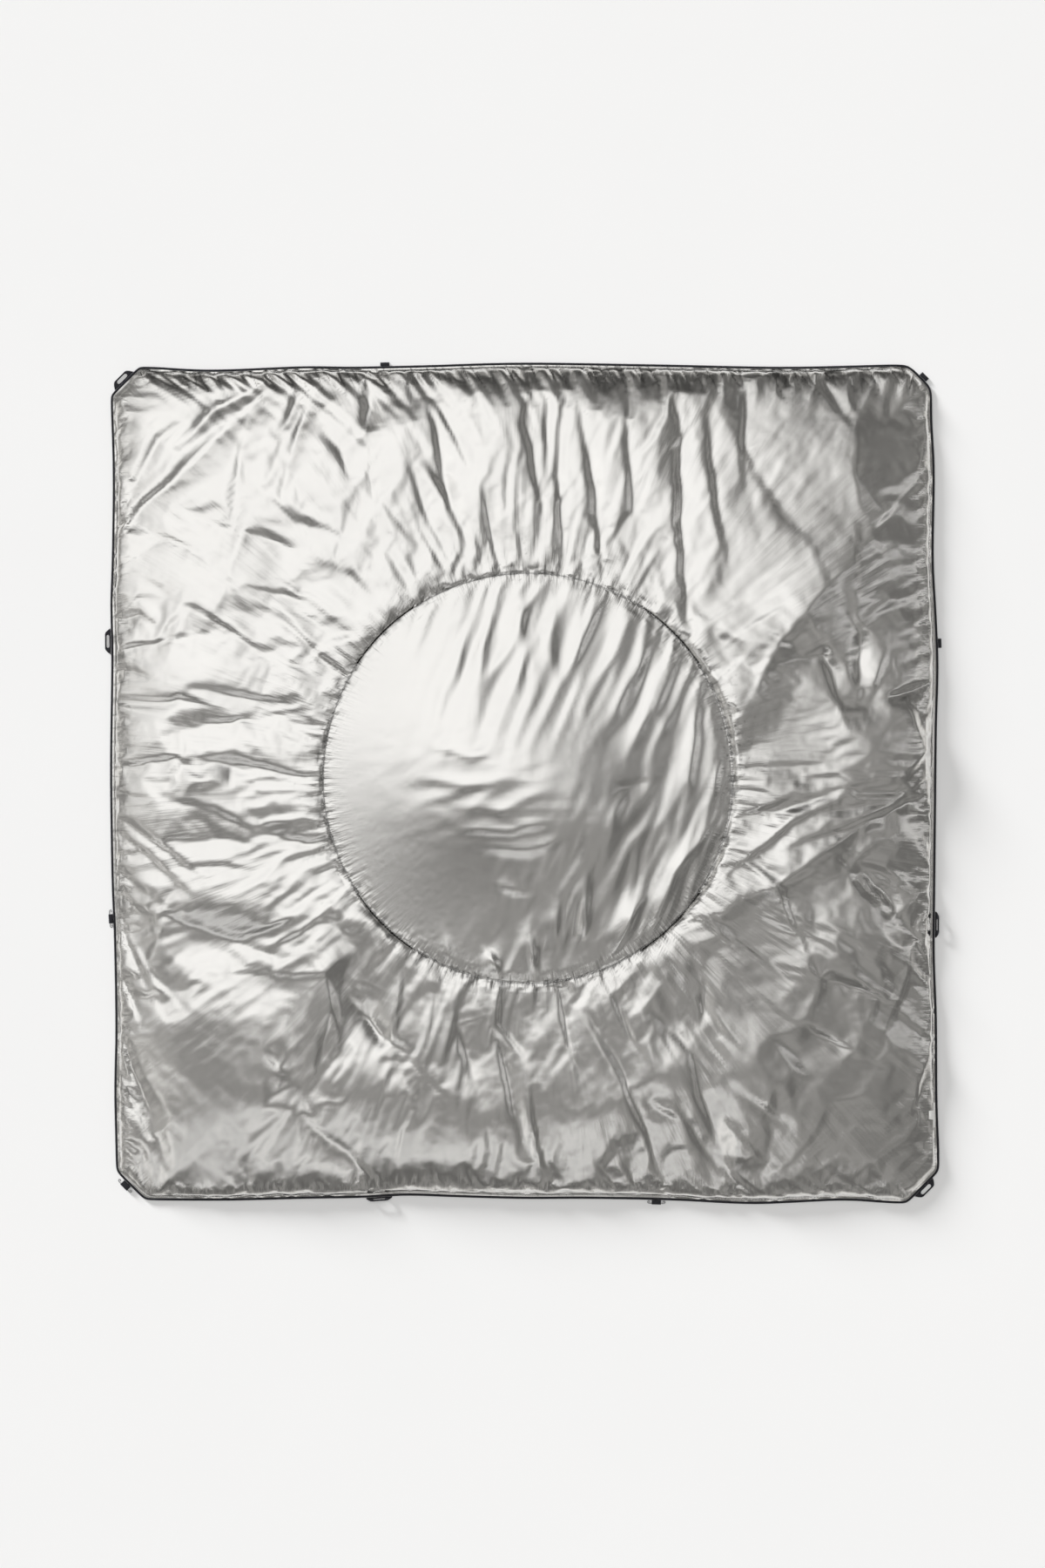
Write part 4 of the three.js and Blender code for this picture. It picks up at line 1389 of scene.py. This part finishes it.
class BLANKET_OT_cloth(bpy.types.Operator):
    """Cuts, sews and fills the silver cloth body"""

    bl_idname = "blanket.cloth"
    bl_label = "Cloth body"

    def execute(self, context):
        build_cloth(context.scene.blanket)
        return {"FINISHED"}


class BLANKET_OT_binding(bpy.types.Operator):
    """Adds the black piping round the edge"""

    bl_idname = "blanket.binding"
    bl_label = "Piping"

    def execute(self, context):
        build_binding(context.scene.blanket)
        return {"FINISHED"}


class BLANKET_OT_stitches(bpy.types.Operator):
    """Adds the stitches along the piping and round the sewn circle"""

    bl_idname = "blanket.stitches"
    bl_label = "Stitches"

    def execute(self, context):
        build_stitches(context.scene.blanket)
        return {"FINISHED"}


class BLANKET_OT_webbing(bpy.types.Operator):
    """Adds the webbing loops and the folded tabs"""

    bl_idname = "blanket.webbing"
    bl_label = "Loops and tabs"

    def execute(self, context):
        build_webbing(context.scene.blanket)
        return {"FINISHED"}


class BLANKET_OT_toggles(bpy.types.Operator):
    """Adds the wire toggles"""

    bl_idname = "blanket.toggles"
    bl_label = "Toggles"

    def execute(self, context):
        build_toggles(context.scene.blanket)
        return {"FINISHED"}


class BLANKET_OT_label(bpy.types.Operator):
    """Adds the plain white label"""

    bl_idname = "blanket.label"
    bl_label = "Label"

    def execute(self, context):
        build_label(context.scene.blanket)
        return {"FINISHED"}


class BLANKET_OT_stage(bpy.types.Operator):
    """Adds the floor, the lights and the camera"""

    bl_idname = "blanket.stage"
    bl_label = "Stage"

    def execute(self, context):
        build_stage(context.scene.blanket)
        return {"FINISHED"}


PIECES = (
    BLANKET_OT_stage,
    BLANKET_OT_cloth,
    BLANKET_OT_binding,
    BLANKET_OT_stitches,
    BLANKET_OT_webbing,
    BLANKET_OT_toggles,
    BLANKET_OT_label,
)


class BLANKET_PT_pieces(bpy.types.Panel):
    """Lists the blanket's pieces and settings"""

    bl_idname = "BLANKET_PT_pieces"
    bl_label = "Blanket"
    bl_space_type = "VIEW_3D"
    bl_region_type = "UI"
    bl_category = "Blanket"

    def draw(self, context):
        for piece in PIECES:
            self.layout.operator(piece.bl_idname)
        for group in (context.scene.blanket.cloth, context.scene.blanket.trim, context.scene.blanket.stage):
            box = self.layout.box()
            for name in group.__annotations__:
                box.prop(group, name)


CLASSES = (ClothSettings, TrimSettings, StageSettings, BlanketSettings, *PIECES, BLANKET_PT_pieces)


def register():
    for made in CLASSES:
        bpy.utils.register_class(made)
    bpy.types.Scene.blanket = bpy.props.PointerProperty(type=BlanketSettings)


def unregister():
    del bpy.types.Scene.blanket
    for made in reversed(CLASSES):
        bpy.utils.unregister_class(made)


def main():
    register()
    bpy.ops.blanket.stage()
    bpy.ops.blanket.cloth()
    bpy.ops.blanket.binding()
    bpy.ops.blanket.stitches()
    bpy.ops.blanket.webbing()
    bpy.ops.blanket.toggles()
    bpy.ops.blanket.label()
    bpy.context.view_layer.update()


if __name__ == "__main__":
    main()
